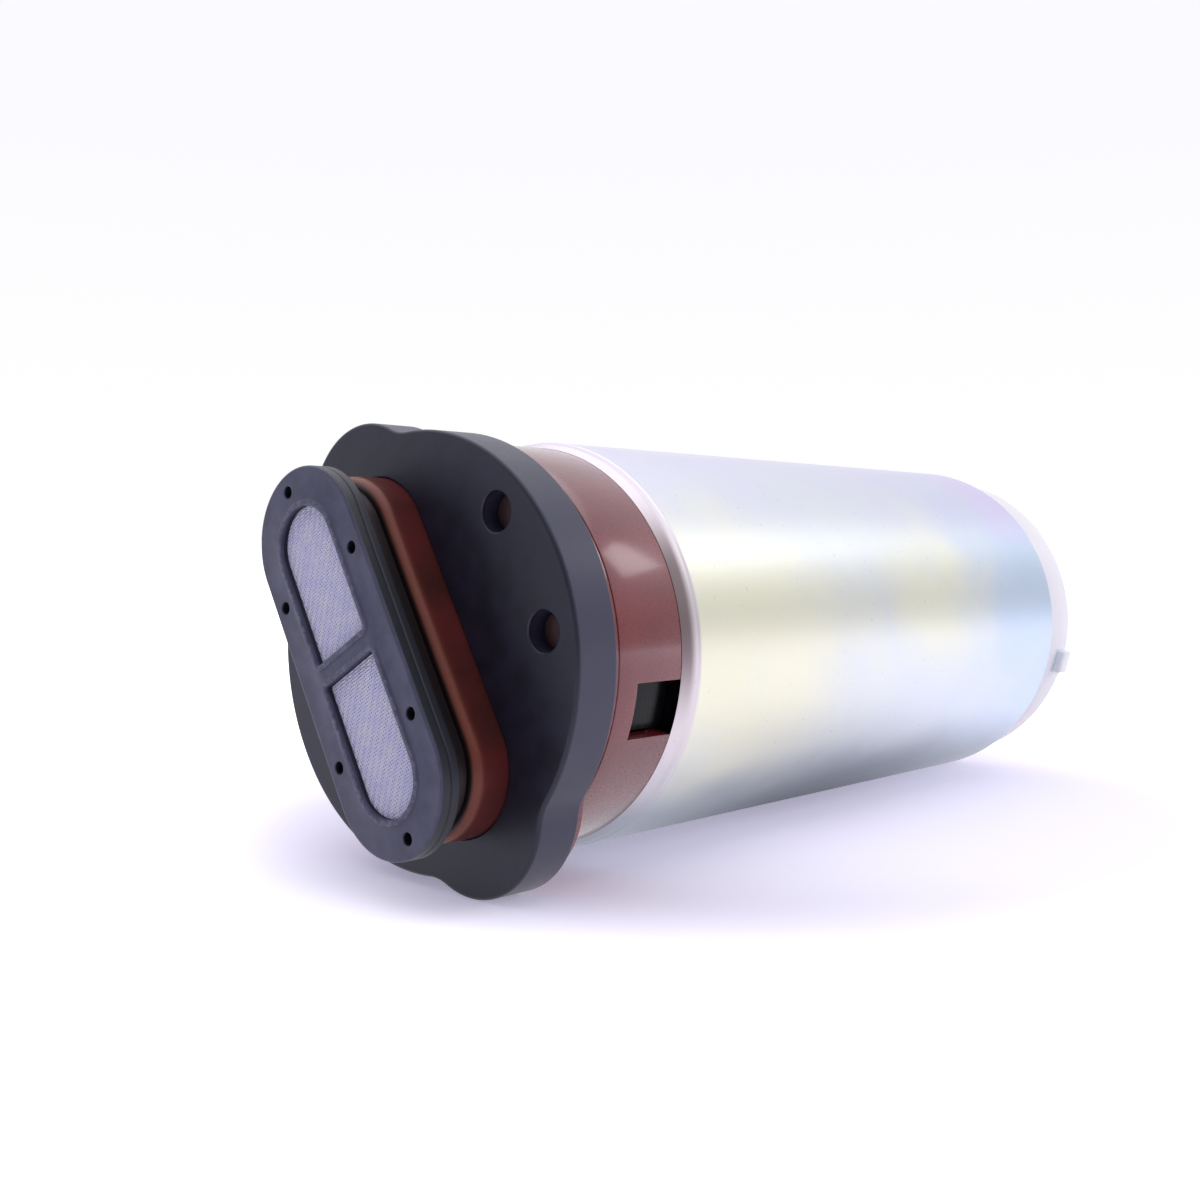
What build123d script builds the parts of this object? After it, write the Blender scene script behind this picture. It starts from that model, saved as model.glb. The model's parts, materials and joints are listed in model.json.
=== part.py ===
from build123d import *
from math import cos, degrees, radians, sin, sqrt
import os

os.makedirs("parts", exist_ok=True)

# Electric fuel pump lying on its side, in millimetres
# The pump axis is X: the strainer faces -X and the outlet faces +X. Z is up.
# The origin is on the axis, half way along the can.
# Angles are measured about the axis, from +Y towards +Z.

# Sheet steel can
can_radius = 21.5
can_length = 77.4
can_wall = 1.5
lip_length = 2.4
lip_drop = 0.6
lip_edge_radius = 0.5
rear_lip_length = 2.0

# Fits
stack_gap = 0.05
bearing_gap = 0.04
running_gap = 0.05
rotor_gap = 0.06
slip_gap = 0.1
valve_gap = 0.1
brush_gap = 0.05

# Brown inlet housing
collar_length = 10.2
collar_wall = 1.8
lobe_plate_thickness = 1.6
lobe_inset = 1.0
housing_floor = 2.2
spigot_length = 1.6
spigot_wall = 2.7
shoulder_length = 1.2
vent_angle = -166.4
pad_depth = 1.5
vent_width = 5.5
vent_length = 6.2
riser_width = 14.2
riser_length = 37.8
riser_stand = 4.2
riser_edge_radius = 1.2
neck_inset = 1.0
neck_length = 2.25
passage_width = 9.2
passage_length = 32.8

# Black lobed flange
flange_overhang = 0.95
flange_thickness = 5.2
flange_edge_radius = 0.3
lobe_angle = 60.0
lobe_offset = 15.65
lobe_radius = 9.3
lobe_blend = 5.0
pin_hole_radius = 1.9
pin_spacing_along = 12.4
pin_spacing_across = 33.2
pin_recess = 1.8

# Strainer: front plate, woven mesh and back frame, snapped into the neck
strainer_width = 15.2
strainer_length = 39.6
cover_thickness = 1.1
cover_groove = 0.3
frame_thickness = 1.05
strainer_edge_radius = 0.25
window_width = 8.0
window_end = 15.9
crossbar_width = 2.3
bead_width = 0.65
bead_height = 0.2
mesh_recess = 0.6
mesh_thickness = 0.15
mesh_margin = 1.0
rivet_hole_radius = 0.62
rivet_end = 18.05
rivet_side_along = 8.5
rivet_side_across = 6.0
skirt_depth = 1.5
skirt_wall = 0.8

# Inlet duct inside the housing
duct_gap = 1.75
duct_wall = 1.5

# Gerotor pump section
inlet_plate_thickness = 5.0
outlet_plate_thickness = 6.0
rotor_thickness = 8.0
inner_lobes = 6
tooth_circle_share = 9.4
tooth_radius_share = 3.0
rotor_edge = 6.95
rotor_rim = 2.92
port_width = 2.6
port_sweep = 118.0
screw_radius = 1.25
screw_head_radius = 2.2
screw_head_height = 1.8
screw_edge = 3.2
screw_count = 3
screw_end = 1.0
dowel_radius = 1.0
dowel_end = 1.5
dowel_lead = 30.0
seal_radius = 0.55
seal_lead = 1.8

# Shaft and bearings
shaft_radius = 2.5
journal_radius = 2.0
bush_wall = 1.66
front_bush_length = 3.4
thrust_pad_radius = 1.8
thrust_pad_thickness = 0.5
shaft_tail = 0.8
shaft_chamfer = 0.3
washer_radius = 5.0
washer_thickness = 0.5
washer_gap = 0.3

# Armature
core_start = 8.4
slot_count = 8
slot_depth = 3.8
slot_length = 5.0
slot_width = 3.0
slot_mouth = 1.8
insulator_thickness = 0.8
sleeve_wall = 1.0
coil_clearance = 0.2
end_turn_length = 3.6
end_turn_inset = 1.2
end_turn_rounding = 1.2
segment_bore = 4.0
segment_margin = 0.25
segment_rim = 0.2
hub_thickness = 2.5
hub_gap = 1.4
segment_thickness = 1.0
segment_gap = 0.4

# Field
air_gap = 0.7
magnet_thickness = 4.6
magnet_overhang = 3.0
magnet_sweep = 140.0
flux_wall = 2.2
clip_thickness = 0.5
clip_depth = 3.2
clip_side_gap = 2.0

# Brush gear
carrier_thickness = 4.0
carrier_gap = 1.5
carrier_space = 7.7
brush_width = 5.0
brush_depth = 4.5
brush_length = 8.4
brush_travel = 2.5
tube_wall = 0.8
tube_lead = 0.8
boss_wall = 1.2
boss_lip = 1.0
boss_stand = 3.2
brush_spring_radius = 1.6
brush_spring_wire = 0.2
brush_spring_turns = 4
lead_radius = 0.4
lead_slot = 1.4
lead_place = 1.5
lead_reach = 1.6
flow_slot_edge = 1.35
flow_slot_width = 4.0
flow_slot_sweep = 50.0

# White end cap with outlet and connector
cap_radius = 20.4
cap_stand = 7.7
cap_edge_radius = 0.5
cap_floor = 1.9
cap_spigot_wall = 2.4
cap_seal_place = 3.4
nub_angle = -165.0
nub_width = 3.2
nub_length = 2.6
nub_height = 1.0
outlet_angle = 90.0
outlet_offset = 9.0
nipple_radius = 4.2
nipple_length = 20.0
nipple_bore = 3.1
valve_bore = 2.8
groove_depth = 0.4
groove_width = 1.6
groove_places = (5.0, 9.0)
nipple_tip = 0.6
socket_offset = 9.0
socket_width = 15.4
socket_height = 8.0
socket_wall = 1.2
socket_depth = 10.0
blade_width = 4.0
blade_thickness = 0.8
blade_spacing = 9.4
blade_stand = 8.0
blade_tail = 3.0

# Suppression chokes
choke_rod_radius = 1.3
choke_edge = 0.5
choke_offset = 26.0
choke_wire = 0.35
choke_turns = 6
choke_end = 1.2

# Outlet check valve
seat_radius = 1.7
seat_length = 2.6
poppet_radius = 2.5
poppet_stem = 0.95
poppet_head = 1.0
poppet_nose = 0.8
check_travel = 2.0
check_spring_radius = 1.9
check_spring_wire = 0.25
check_spring_length = 6.4
check_spring_turns = 5
retainer_thickness = 1.5
retainer_hub_wall = 0.55
retainer_rim = 0.45
spoke_width = 0.8
spoke_count = 3

# Relief valve
relief_bore = 1.9
relief_seat_bore = 1.2
relief_seat_radius = 2.4
relief_seat_length = 2.0
relief_vent = 0.8
relief_floor = 1.6
relief_ball = 1.6
relief_travel = 2.0
relief_spring_radius = 1.3
relief_spring_wire = 0.22
relief_spring_turns = 7

# Radii worked out from the can inwards
can_bore = can_radius - can_wall
stack_radius = can_bore - stack_gap
collar_radius = can_radius - lip_drop - stack_gap
flange_radius = collar_radius + flange_overhang
bush_radius = shaft_radius + bearing_gap + bush_wall
outer_lobes = inner_lobes + 1
rotor_radius = stack_radius - rotor_edge
rotor_cavity = rotor_radius - rotor_rim
eccentricity = rotor_cavity / (tooth_circle_share - tooth_radius_share + 2)
tooth_circle = eccentricity * tooth_circle_share
tooth_radius = eccentricity * tooth_radius_share
screw_circle = stack_radius - screw_edge
flux_bore = stack_radius - flux_wall
magnet_radius = flux_bore - stack_gap
magnet_bore = magnet_radius - magnet_thickness
core_radius = magnet_bore - air_gap
slot_circle = core_radius - slot_depth
end_turn_radius = core_radius - end_turn_inset
brush_circle = bush_radius + boss_wall + stack_gap + slip_gap + brush_depth / 2
commutator_radius = brush_circle + brush_depth / 2 + segment_margin + segment_rim
spigot_bore = stack_radius - spigot_wall
cap_bore = stack_radius - cap_spigot_wall
flow_slot_circle = cap_bore - flow_slot_edge - flow_slot_width / 2
coil_radius = choke_rod_radius + choke_wire + stack_gap
choke_circle = cap_bore - choke_edge - coil_radius - choke_wire
duct_outer_radius = spigot_bore - duct_gap
relief_circle = (duct_outer_radius + spigot_bore) / 2
sleeve_radius = shaft_radius + sleeve_wall
seal_circle = stack_radius - seal_radius

# Stations along the axis, from the inlet to the outlet
can_front = -can_length / 2
can_rear = can_length / 2
lip_front = can_front - lip_length
flange_rear = lip_front - collar_length
flange_front = flange_rear - flange_thickness
riser_front = flange_front - riser_stand
neck_front = riser_front - neck_length
frame_front = neck_front - frame_thickness
cover_front = frame_front - cover_thickness
lobe_plate_rear = flange_rear + lobe_plate_thickness
floor_rear = flange_rear + housing_floor
inlet_plate_front = can_front + spigot_length
ring_front = inlet_plate_front + inlet_plate_thickness
ring_rear = ring_front + rotor_thickness
outlet_plate_rear = ring_rear + outlet_plate_thickness
cap_front = can_rear - cap_floor
carrier_rear = cap_front - carrier_space
carrier_front = carrier_rear - carrier_thickness
segment_rear = carrier_front - carrier_gap
segment_front = segment_rear - segment_thickness
hub_front = segment_front - hub_thickness
core_front = outlet_plate_rear + core_start
core_rear = hub_front - hub_gap - end_turn_length - insulator_thickness
core_length = core_rear - core_front
magnet_length = core_length + 2 * magnet_overhang
cap_rear = can_rear + cap_stand
nipple_end = cap_rear + nipple_length
seat_rear = cap_front + seat_length
head_front = seat_rear + poppet_radius - seat_radius + valve_gap
head_rear = head_front + poppet_head
retainer_front = head_rear + check_spring_length
retainer_rear = retainer_front + retainer_thickness
boss_rear = carrier_rear + boss_stand
eccentric_angle = vent_angle + 180
front_bush_radius = journal_radius + bearing_gap + bush_wall


def section(x, angle=0.0):
    """A plane across the axis at x, with its own x axis turned to the angle."""
    across = (0, cos(radians(angle)), sin(radians(angle)))
    return Plane(origin=(x, 0, 0), x_dir=across, z_dir=(1, 0, 0))


def off_axis(radius, angle):
    """Y and Z of a point at a radius from the axis and an angle about it."""
    return radius * cos(radians(angle)), radius * sin(radians(angle))


def section_at(x, radius, angle):
    """A plane across the axis whose origin stands off the axis."""
    y, z = off_axis(radius, angle)
    across = (0, cos(radians(angle)), sin(radians(angle)))
    return Plane(origin=(x, y, z), x_dir=across, z_dir=(1, 0, 0))


def turned(*points):
    """Half profile of a turned piece, from (x, radius) points."""
    with BuildSketch() as profile:
        with BuildLine():
            Polyline(*points, close=True)
        make_face()
    return profile.sketch


def disc_face(plane, radius):
    """A round face on a plane."""
    with BuildSketch(plane) as disc:
        Circle(radius)
    return disc.sketch


def washer_face(plane, outer, inner):
    """A flat ring on a plane."""
    with BuildSketch(plane) as ring:
        Circle(outer)
        Circle(inner, mode=Mode.SUBTRACT)
    return ring.sketch


def stadium(plane, length, width):
    """A slot outline with its long side on the plane's own x axis."""
    with BuildSketch(plane) as outline:
        SlotOverall(length, width)
    return outline.sketch


def lobed_disc(plane, radius, inset=0.0):
    """The flange outline: a disc with two opposite lobes on the plane's x axis."""
    with BuildSketch(plane) as outline:
        Circle(radius)
        with Locations((lobe_offset, 0), (-lobe_offset, 0)):
            Circle(lobe_radius - inset)
        corners = outline.vertices().filter_by(lambda corner: abs(corner.Y) > stack_gap)
        fillet(corners, lobe_blend)
    return outline.sketch


def window_pair(plane, grow=0.0):
    """The two strainer windows, each a half stadium cut square at the crossbar."""
    with BuildSketch(plane) as windows:
        SlotOverall(2 * (window_end + grow), window_width + 2 * grow)
        Rectangle(crossbar_width - 2 * grow, window_width + 2 * grow, mode=Mode.SUBTRACT)
    return windows.sketch


def coil(start, length, radius, wire, turns, axis_y, axis_z):
    """Wire wound in a helix about a line parallel to the axis."""
    with BuildPart() as wound:
        with BuildLine():
            path = Helix(length / turns, length, radius, center=(start, axis_y, axis_z), direction=(1, 0, 0))
        with BuildSketch(Plane(origin=path @ 0, z_dir=path % 0)):
            Circle(wire)
        sweep(path=path)
    return wound.part


def write(part, label):
    """Name a finished piece and save it."""
    part.label = label
    export_step(part, f"parts/{label}.step")


# Can: a drawn tube, rolled in at both ends over the pieces that it holds
with BuildPart() as pump_can:
    revolve(
        turned(
            (lip_front, can_radius - lip_drop),
            (can_front, can_radius),
            (can_rear - rear_lip_length, can_radius),
            (can_rear, can_radius - lip_drop),
            (can_rear, can_bore - lip_drop),
            (can_rear - rear_lip_length, can_bore),
            (can_front, can_bore),
            (lip_front, can_bore - lip_drop),
        ),
        axis=Axis.X,
    )
    rims = pump_can.edges().filter_by(GeomType.CIRCLE)
    fillet(rims.filter_by(lambda rim: abs(rim.radius - can_radius + lip_drop) < stack_gap), lip_edge_radius)
write(pump_can.part, "pump_can")


def collar_body():
    """Turned shape of the inlet housing behind its lobed plate."""
    return turned(
        (lobe_plate_rear, 0),
        (lobe_plate_rear, collar_radius),
        (lip_front, collar_radius),
        (lip_front, can_bore - lip_drop - stack_gap),
        (can_front, stack_radius),
        (inlet_plate_front, stack_radius),
        (inlet_plate_front, spigot_bore),
        (lip_front - shoulder_length, spigot_bore),
        (lip_front - shoulder_length, collar_radius - collar_wall),
        (floor_rear, collar_radius - collar_wall),
        (floor_rear, 0),
    )


# Inlet housing: brown moulding with the collar, the riser and its neck, and four pegs
with BuildPart() as inlet_housing:
    riser_sketch = stadium(section(riser_front, lobe_angle), riser_length, riser_width)
    extrude(riser_sketch, flange_rear - riser_front)
    fillet(inlet_housing.edges().group_by(Axis.X)[0], riser_edge_radius)
    neck_size = (riser_length - 2 * neck_inset, riser_width - 2 * neck_inset)
    extrude(stadium(section(riser_front, lobe_angle), *neck_size), -neck_length)
    extrude(lobed_disc(section(flange_rear, lobe_angle), collar_radius - slip_gap, lobe_inset), lobe_plate_thickness)
    revolve(collar_body(), axis=Axis.X)
    extrude(
        stadium(section(neck_front, lobe_angle), passage_length, passage_width),
        flange_rear - neck_front,
        mode=Mode.SUBTRACT,
    )
    with BuildSketch(section(flange_rear, lobe_angle)) as floor_opening:
        SlotOverall(passage_length, passage_width)
        Circle(duct_outer_radius - duct_wall, mode=Mode.INTERSECT)
    extrude(floor_opening.sketch, housing_floor, mode=Mode.SUBTRACT)
    pin_front = flange_front + pin_recess
    with BuildSketch(section(pin_front, lobe_angle)):
        with GridLocations(pin_spacing_along, pin_spacing_across, 2, 2):
            Circle(pin_hole_radius - slip_gap)
    extrude(amount=lobe_plate_rear - pin_front)
    vent_plane = Plane(
        origin=(lip_front - vent_length / 2, *off_axis(collar_radius, vent_angle)),
        x_dir=(1, 0, 0),
        z_dir=(0, cos(radians(vent_angle)), sin(radians(vent_angle))),
    )
    with BuildSketch(vent_plane.offset(collar_wall)):
        Rectangle(vent_length, vent_width)
    extrude(amount=spigot_bore - 3 * slip_gap - collar_radius - collar_wall, mode=Mode.SUBTRACT)
write(inlet_housing.part, "inlet_housing")

# Flange: black lobed ring pushed over the riser and the four pegs
with BuildPart() as base_flange:
    extrude(lobed_disc(section(flange_front, lobe_angle), flange_radius), flange_thickness)
    front_edge = base_flange.faces().sort_by(Axis.X)[0].outer_wire().edges()
    rear_edge = base_flange.faces().sort_by(Axis.X)[-1].outer_wire().edges()
    chamfer(front_edge + rear_edge, flange_edge_radius)
    riser_opening = (riser_length + 2 * stack_gap, riser_width + 2 * stack_gap)
    extrude(stadium(section(flange_front, lobe_angle), *riser_opening), flange_thickness, mode=Mode.SUBTRACT)
    with BuildSketch(section(flange_front, lobe_angle)):
        with GridLocations(pin_spacing_along, pin_spacing_across, 2, 2):
            Circle(pin_hole_radius)
    extrude(amount=flange_thickness, mode=Mode.SUBTRACT)
write(base_flange.part, "base_flange")

# Strainer front plate: stadium with two beaded windows, six blind marks and a mesh pocket
with BuildPart() as strainer_cover:
    extrude(stadium(section(cover_front, lobe_angle), strainer_length, strainer_width), cover_thickness)
    cover_edge = strainer_cover.faces().sort_by(Axis.X)[0].outer_wire().edges()
    fillet(cover_edge, strainer_edge_radius)
    extrude(window_pair(section(cover_front, lobe_angle), bead_width), -bead_height)
    extrude(
        window_pair(section(cover_front - bead_height, lobe_angle)),
        cover_thickness + bead_height,
        mode=Mode.SUBTRACT,
    )
    pocket_size = (2 * (window_end + mesh_margin), window_width + 2 * mesh_margin)
    extrude(
        stadium(section(cover_front + mesh_recess, lobe_angle), *pocket_size),
        cover_thickness - mesh_recess,
        mode=Mode.SUBTRACT,
    )
    with BuildSketch(section(cover_front, lobe_angle)):
        with Locations((rivet_end, 0), (-rivet_end, 0)):
            Circle(rivet_hole_radius)
        with GridLocations(2 * rivet_side_along, 2 * rivet_side_across, 2, 2):
            Circle(rivet_hole_radius)
    extrude(amount=cover_thickness, mode=Mode.SUBTRACT)
write(strainer_cover.part, "strainer_cover")

# Strainer mesh: one woven sheet in the pocket of the front plate
mesh_front = cover_front + mesh_recess
mesh_size = (2 * (window_end + mesh_margin - slip_gap), window_width + 2 * (mesh_margin - slip_gap))
with BuildPart() as strainer_mesh:
    extrude(stadium(section(mesh_front, lobe_angle), *mesh_size), mesh_thickness)
write(strainer_mesh.part, "strainer_mesh")

# Strainer back frame: clamps the mesh with a raised rib and plugs into the neck with a skirt
rib_height = cover_thickness - mesh_recess - mesh_thickness
rib_size = (pocket_size[0] - 2 * slip_gap, pocket_size[1] - 2 * slip_gap)
skirt_size = (passage_length - 2 * slip_gap, passage_width - 2 * slip_gap)
with BuildPart() as strainer_frame:
    extrude(stadium(section(frame_front, lobe_angle), strainer_length, strainer_width), frame_thickness)
    frame_sides = strainer_frame.faces().sort_by(Axis.X)
    groove_edges = frame_sides[0].outer_wire().edges()
    chamfer(groove_edges, cover_groove)
    extrude(stadium(section(frame_front, lobe_angle), *rib_size), -rib_height)
    extrude(stadium(section(neck_front, lobe_angle), *skirt_size), skirt_depth)
    frame_opening = (skirt_size[0] - 2 * skirt_wall, skirt_size[1] - 2 * skirt_wall)
    extrude(
        stadium(section(frame_front - rib_height, lobe_angle), *frame_opening),
        rib_height + frame_thickness + skirt_depth,
        mode=Mode.SUBTRACT,
    )
write(strainer_frame.part, "strainer_frame")

def arc_band(plane, inner, outer, middle, sweep):
    """A sector of a flat ring, centred on an angle."""
    with BuildSketch(plane) as band:
        with BuildLine():
            outer_arc = CenterArc((0, 0), outer, middle - sweep / 2, sweep)
            inner_arc = CenterArc((0, 0), inner, middle - sweep / 2, sweep)
            Line(outer_arc @ 0, inner_arc @ 0)
            Line(outer_arc @ 1, inner_arc @ 1)
        make_face()
    return band.sketch


# Inlet duct: black sleeve that carries fuel from the riser to the pump section
# Its raised pad snaps into the collar's window and stands just below the collar's wall.
with BuildPart() as inlet_duct:
    duct_length = inlet_plate_front - floor_rear
    duct_bore = duct_outer_radius - duct_wall
    extrude(washer_face(section(floor_rear), duct_outer_radius, duct_bore), duct_length)
    pad_radius = collar_radius - pad_depth
    pad_sweep = degrees((vent_width - 2 * slip_gap) / collar_radius)
    pad_plane = section(lip_front - vent_length + slip_gap)
    pad_band = arc_band(pad_plane, duct_outer_radius - duct_wall / 2, pad_radius, vent_angle, pad_sweep)
    extrude(pad_band, vent_length - 2 * slip_gap)
write(inlet_duct.part, "inlet_duct")

def holes(plane, radius, circle, angles):
    """Equal round holes at a radius from the plane's origin and a list of angles."""
    with BuildSketch(plane) as pattern:
        with Locations(*[off_axis(circle, angle) for angle in angles]):
            Circle(radius)
    return pattern.sketch


# Places of what passes through the three pump plates
port_circle = tooth_circle - tooth_radius + eccentricity / 2
screw_angles = [vent_angle + (turn + 0.5) * 360 / screw_count for turn in range(screw_count)]
dowel_angles = [vent_angle + dowel_lead, vent_angle - dowel_lead]
screw_front = inlet_plate_front + screw_end
dowel_front = inlet_plate_front + dowel_end
dowel_rear = outlet_plate_rear - dowel_end
relief_front = inlet_plate_front + relief_floor
relief_seat_front = outlet_plate_rear - relief_seat_length
front_bush_front = ring_front - front_bush_length


def port(plane, middle):
    """A curved port beside the line of the two rotor centres."""
    inner = port_circle - port_width / 2
    return arc_band(plane, inner, inner + port_width, middle, port_sweep)


# Inlet plate: front bearing, suction port, screw threads and the relief spring's floor
with BuildPart() as inlet_plate:
    extrude(disc_face(section(inlet_plate_front), stack_radius), inlet_plate_thickness)
    inlet_port = port(section(inlet_plate_front, eccentric_angle), 90)
    extrude(inlet_port, inlet_plate_thickness, mode=Mode.SUBTRACT)
    extrude(disc_face(section(front_bush_front), front_bush_radius), front_bush_length, mode=Mode.SUBTRACT)
    threads = holes(section(screw_front), screw_radius, screw_circle, screw_angles)
    extrude(threads, ring_front - screw_front, mode=Mode.SUBTRACT)
    sockets = holes(section(dowel_front), dowel_radius, screw_circle, dowel_angles)
    extrude(sockets, ring_front - dowel_front, mode=Mode.SUBTRACT)
    relief_hole = holes(section(relief_front), relief_bore, relief_circle, [vent_angle])
    extrude(relief_hole, ring_front - relief_front, mode=Mode.SUBTRACT)
    vent_hole = holes(section(inlet_plate_front), relief_vent, relief_circle, [vent_angle])
    extrude(vent_hole, relief_floor, mode=Mode.SUBTRACT)
write(inlet_plate.part, "inlet_plate")

# Rotor ring: the spacer that the outer rotor turns in, off the pump axis
with BuildPart() as rotor_ring:
    extrude(disc_face(section(ring_front), stack_radius), rotor_thickness)
    rotor_centre = section_at(ring_front, eccentricity, eccentric_angle)
    extrude(disc_face(rotor_centre, rotor_radius + running_gap), rotor_thickness, mode=Mode.SUBTRACT)
    for radius, circle, angles in (
        (screw_radius + slip_gap, screw_circle, screw_angles),
        (dowel_radius, screw_circle, dowel_angles),
        (relief_bore, relief_circle, [vent_angle]),
    ):
        extrude(holes(section(ring_front), radius, circle, angles), rotor_thickness, mode=Mode.SUBTRACT)
write(rotor_ring.part, "rotor_ring")

# Outlet plate: middle bearing, delivery port, relief seat and the sealing groove
screw_head_front = outlet_plate_rear - screw_head_height
seal_place = ring_rear + seal_lead
groove_radius = seal_circle - seal_radius - slip_gap
groove_side = seal_radius + slip_gap
with BuildPart() as outlet_plate:
    extrude(washer_face(section(ring_rear), stack_radius, bush_radius), outlet_plate_thickness)
    extrude(port(section(ring_rear, eccentric_angle), -90), outlet_plate_thickness, mode=Mode.SUBTRACT)
    clearance_holes = holes(section(ring_rear), screw_radius + slip_gap, screw_circle, screw_angles)
    extrude(clearance_holes, outlet_plate_thickness, mode=Mode.SUBTRACT)
    head_holes = holes(section(screw_head_front), screw_head_radius + slip_gap, screw_circle, screw_angles)
    extrude(head_holes, screw_head_height, mode=Mode.SUBTRACT)
    dowel_holes = holes(section(ring_rear), dowel_radius, screw_circle, dowel_angles)
    extrude(dowel_holes, dowel_rear - ring_rear, mode=Mode.SUBTRACT)
    spring_hole = holes(section(ring_rear), relief_bore, relief_circle, [vent_angle])
    extrude(spring_hole, relief_seat_front - ring_rear, mode=Mode.SUBTRACT)
    seat_hole = holes(section(relief_seat_front), relief_seat_radius, relief_circle, [vent_angle])
    extrude(seat_hole, relief_seat_length, mode=Mode.SUBTRACT)
    plate_groove = washer_face(section(seal_place - groove_side), can_radius, groove_radius)
    extrude(plate_groove, 2 * groove_side, mode=Mode.SUBTRACT)
write(outlet_plate.part, "outlet_plate")


def inner_rotor_outline():
    """Points of the inner rotor's curve: an epitrochoid drawn in by the tooth radius."""
    points = []
    steps = 24 * inner_lobes
    reach = tooth_radius + rotor_gap
    for step in range(steps):
        turn = radians(360 * step / steps)
        wave = outer_lobes * turn
        y = tooth_circle * cos(turn) + eccentricity * cos(wave)
        z = tooth_circle * sin(turn) + eccentricity * sin(wave)
        slope_y = -tooth_circle * sin(turn) - outer_lobes * eccentricity * sin(wave)
        slope_z = tooth_circle * cos(turn) + outer_lobes * eccentricity * cos(wave)
        size = sqrt(slope_y**2 + slope_z**2)
        points.append((y - reach * slope_z / size, z + reach * slope_y / size))
    return points


# Inner rotor: sintered steel, driven by two flats on the shaft
rotor_length = rotor_thickness - 2 * running_gap
rotor_curve = inner_rotor_outline()
with BuildPart() as inner_rotor:
    with BuildSketch(section(ring_front + running_gap, eccentric_angle)):
        with BuildLine():
            Spline(*rotor_curve, periodic=True)
        make_face()
    extrude(amount=rotor_length)
    with BuildSketch(section(ring_front + running_gap, eccentric_angle)):
        Circle(shaft_radius + bearing_gap)
        Rectangle(3 * shaft_radius, 2 * (journal_radius + bearing_gap), mode=Mode.INTERSECT)
    extrude(amount=rotor_length, mode=Mode.SUBTRACT)
write(inner_rotor.part, "inner_rotor")

# Outer rotor: one more tooth than the inner rotor has lobes, on the offset centre
with BuildPart() as outer_rotor:
    with BuildSketch(section_at(ring_front + running_gap, eccentricity, eccentric_angle)):
        Circle(rotor_radius)
        Circle(rotor_cavity + rotor_gap, mode=Mode.SUBTRACT)
        with PolarLocations(tooth_circle, outer_lobes):
            Circle(tooth_radius)
        Circle(rotor_radius, mode=Mode.INTERSECT)
    extrude(amount=rotor_length)
write(outer_rotor.part, "outer_rotor")


def bush(front, length, bore, outer):
    """A plain sintered bearing bush on the pump axis."""
    with BuildPart() as bearing:
        extrude(washer_face(section(front), outer, bore), length)
    return bearing.part


journal_bore = journal_radius + bearing_gap
shaft_bore = shaft_radius + bearing_gap
rear_bush_front = carrier_front + boss_lip
rear_bush_length = boss_rear - rear_bush_front
write(bush(front_bush_front, front_bush_length, journal_bore, front_bush_radius), "front_bush")
write(bush(ring_rear, outlet_plate_thickness, shaft_bore, bush_radius), "middle_bush")
write(bush(rear_bush_front, rear_bush_length, shaft_bore, bush_radius), "rear_bush")

# Thrust pad at the front end of the shaft, and thrust washer behind the outlet plate
with BuildPart() as thrust_pad:
    extrude(disc_face(section(front_bush_front), thrust_pad_radius), thrust_pad_thickness)
write(thrust_pad.part, "thrust_pad")
thrust_washer = bush(outlet_plate_rear + washer_gap, washer_thickness, shaft_radius, washer_radius)
write(thrust_washer, "thrust_washer")

# Motor shaft: ground steel, with a smaller journal and two drive flats at the front
shaft_front = front_bush_front + thrust_pad_thickness + running_gap
shaft_rear = boss_rear + shaft_tail
with BuildPart() as motor_shaft:
    revolve(
        turned(
            (shaft_front, 0),
            (shaft_front, journal_radius),
            (ring_front, journal_radius),
            (ring_front, shaft_radius),
            (shaft_rear - shaft_chamfer, shaft_radius),
            (shaft_rear, shaft_radius - shaft_chamfer),
            (shaft_rear, 0),
        ),
        axis=Axis.X,
    )
    with BuildSketch(section(ring_front, eccentric_angle)):
        Circle(2 * shaft_radius)
        Rectangle(4 * shaft_radius, 2 * journal_radius, mode=Mode.SUBTRACT)
    extrude(amount=rotor_thickness, mode=Mode.SUBTRACT)
write(motor_shaft.part, "motor_shaft")


def slotted_disc(plane):
    """Slotted round outline that the core and its end insulators share."""
    with BuildSketch(plane) as outline:
        Circle(core_radius)
        Circle(shaft_radius, mode=Mode.SUBTRACT)
        with PolarLocations(slot_circle, slot_count):
            SlotOverall(slot_length, slot_width, mode=Mode.SUBTRACT)
        with PolarLocations(core_radius, slot_count):
            Rectangle(slot_length, slot_mouth, mode=Mode.SUBTRACT)
    return outline.sketch


# Core: a stack of steel laminations pressed on the shaft
with BuildPart() as core_stack:
    extrude(slotted_disc(section(core_front)), core_length)
write(core_stack.part, "core_stack")

# Slot insulators: moulded end plates whose sleeves cover the shaft under the end turns
end_turn_front = core_front - insulator_thickness - end_turn_length
end_turn_rear = core_rear + insulator_thickness + end_turn_length
with BuildPart() as slot_insulators:
    for plate_front in (core_front - insulator_thickness, core_rear):
        extrude(slotted_disc(section(plate_front)), insulator_thickness)
    for sleeve_front, length in (
        (end_turn_front, end_turn_length),
        (core_rear + insulator_thickness, hub_front - core_rear - insulator_thickness),
    ):
        extrude(washer_face(section(sleeve_front), sleeve_radius, shaft_radius), length)
write(slot_insulators.part, "slot_insulators")

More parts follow.
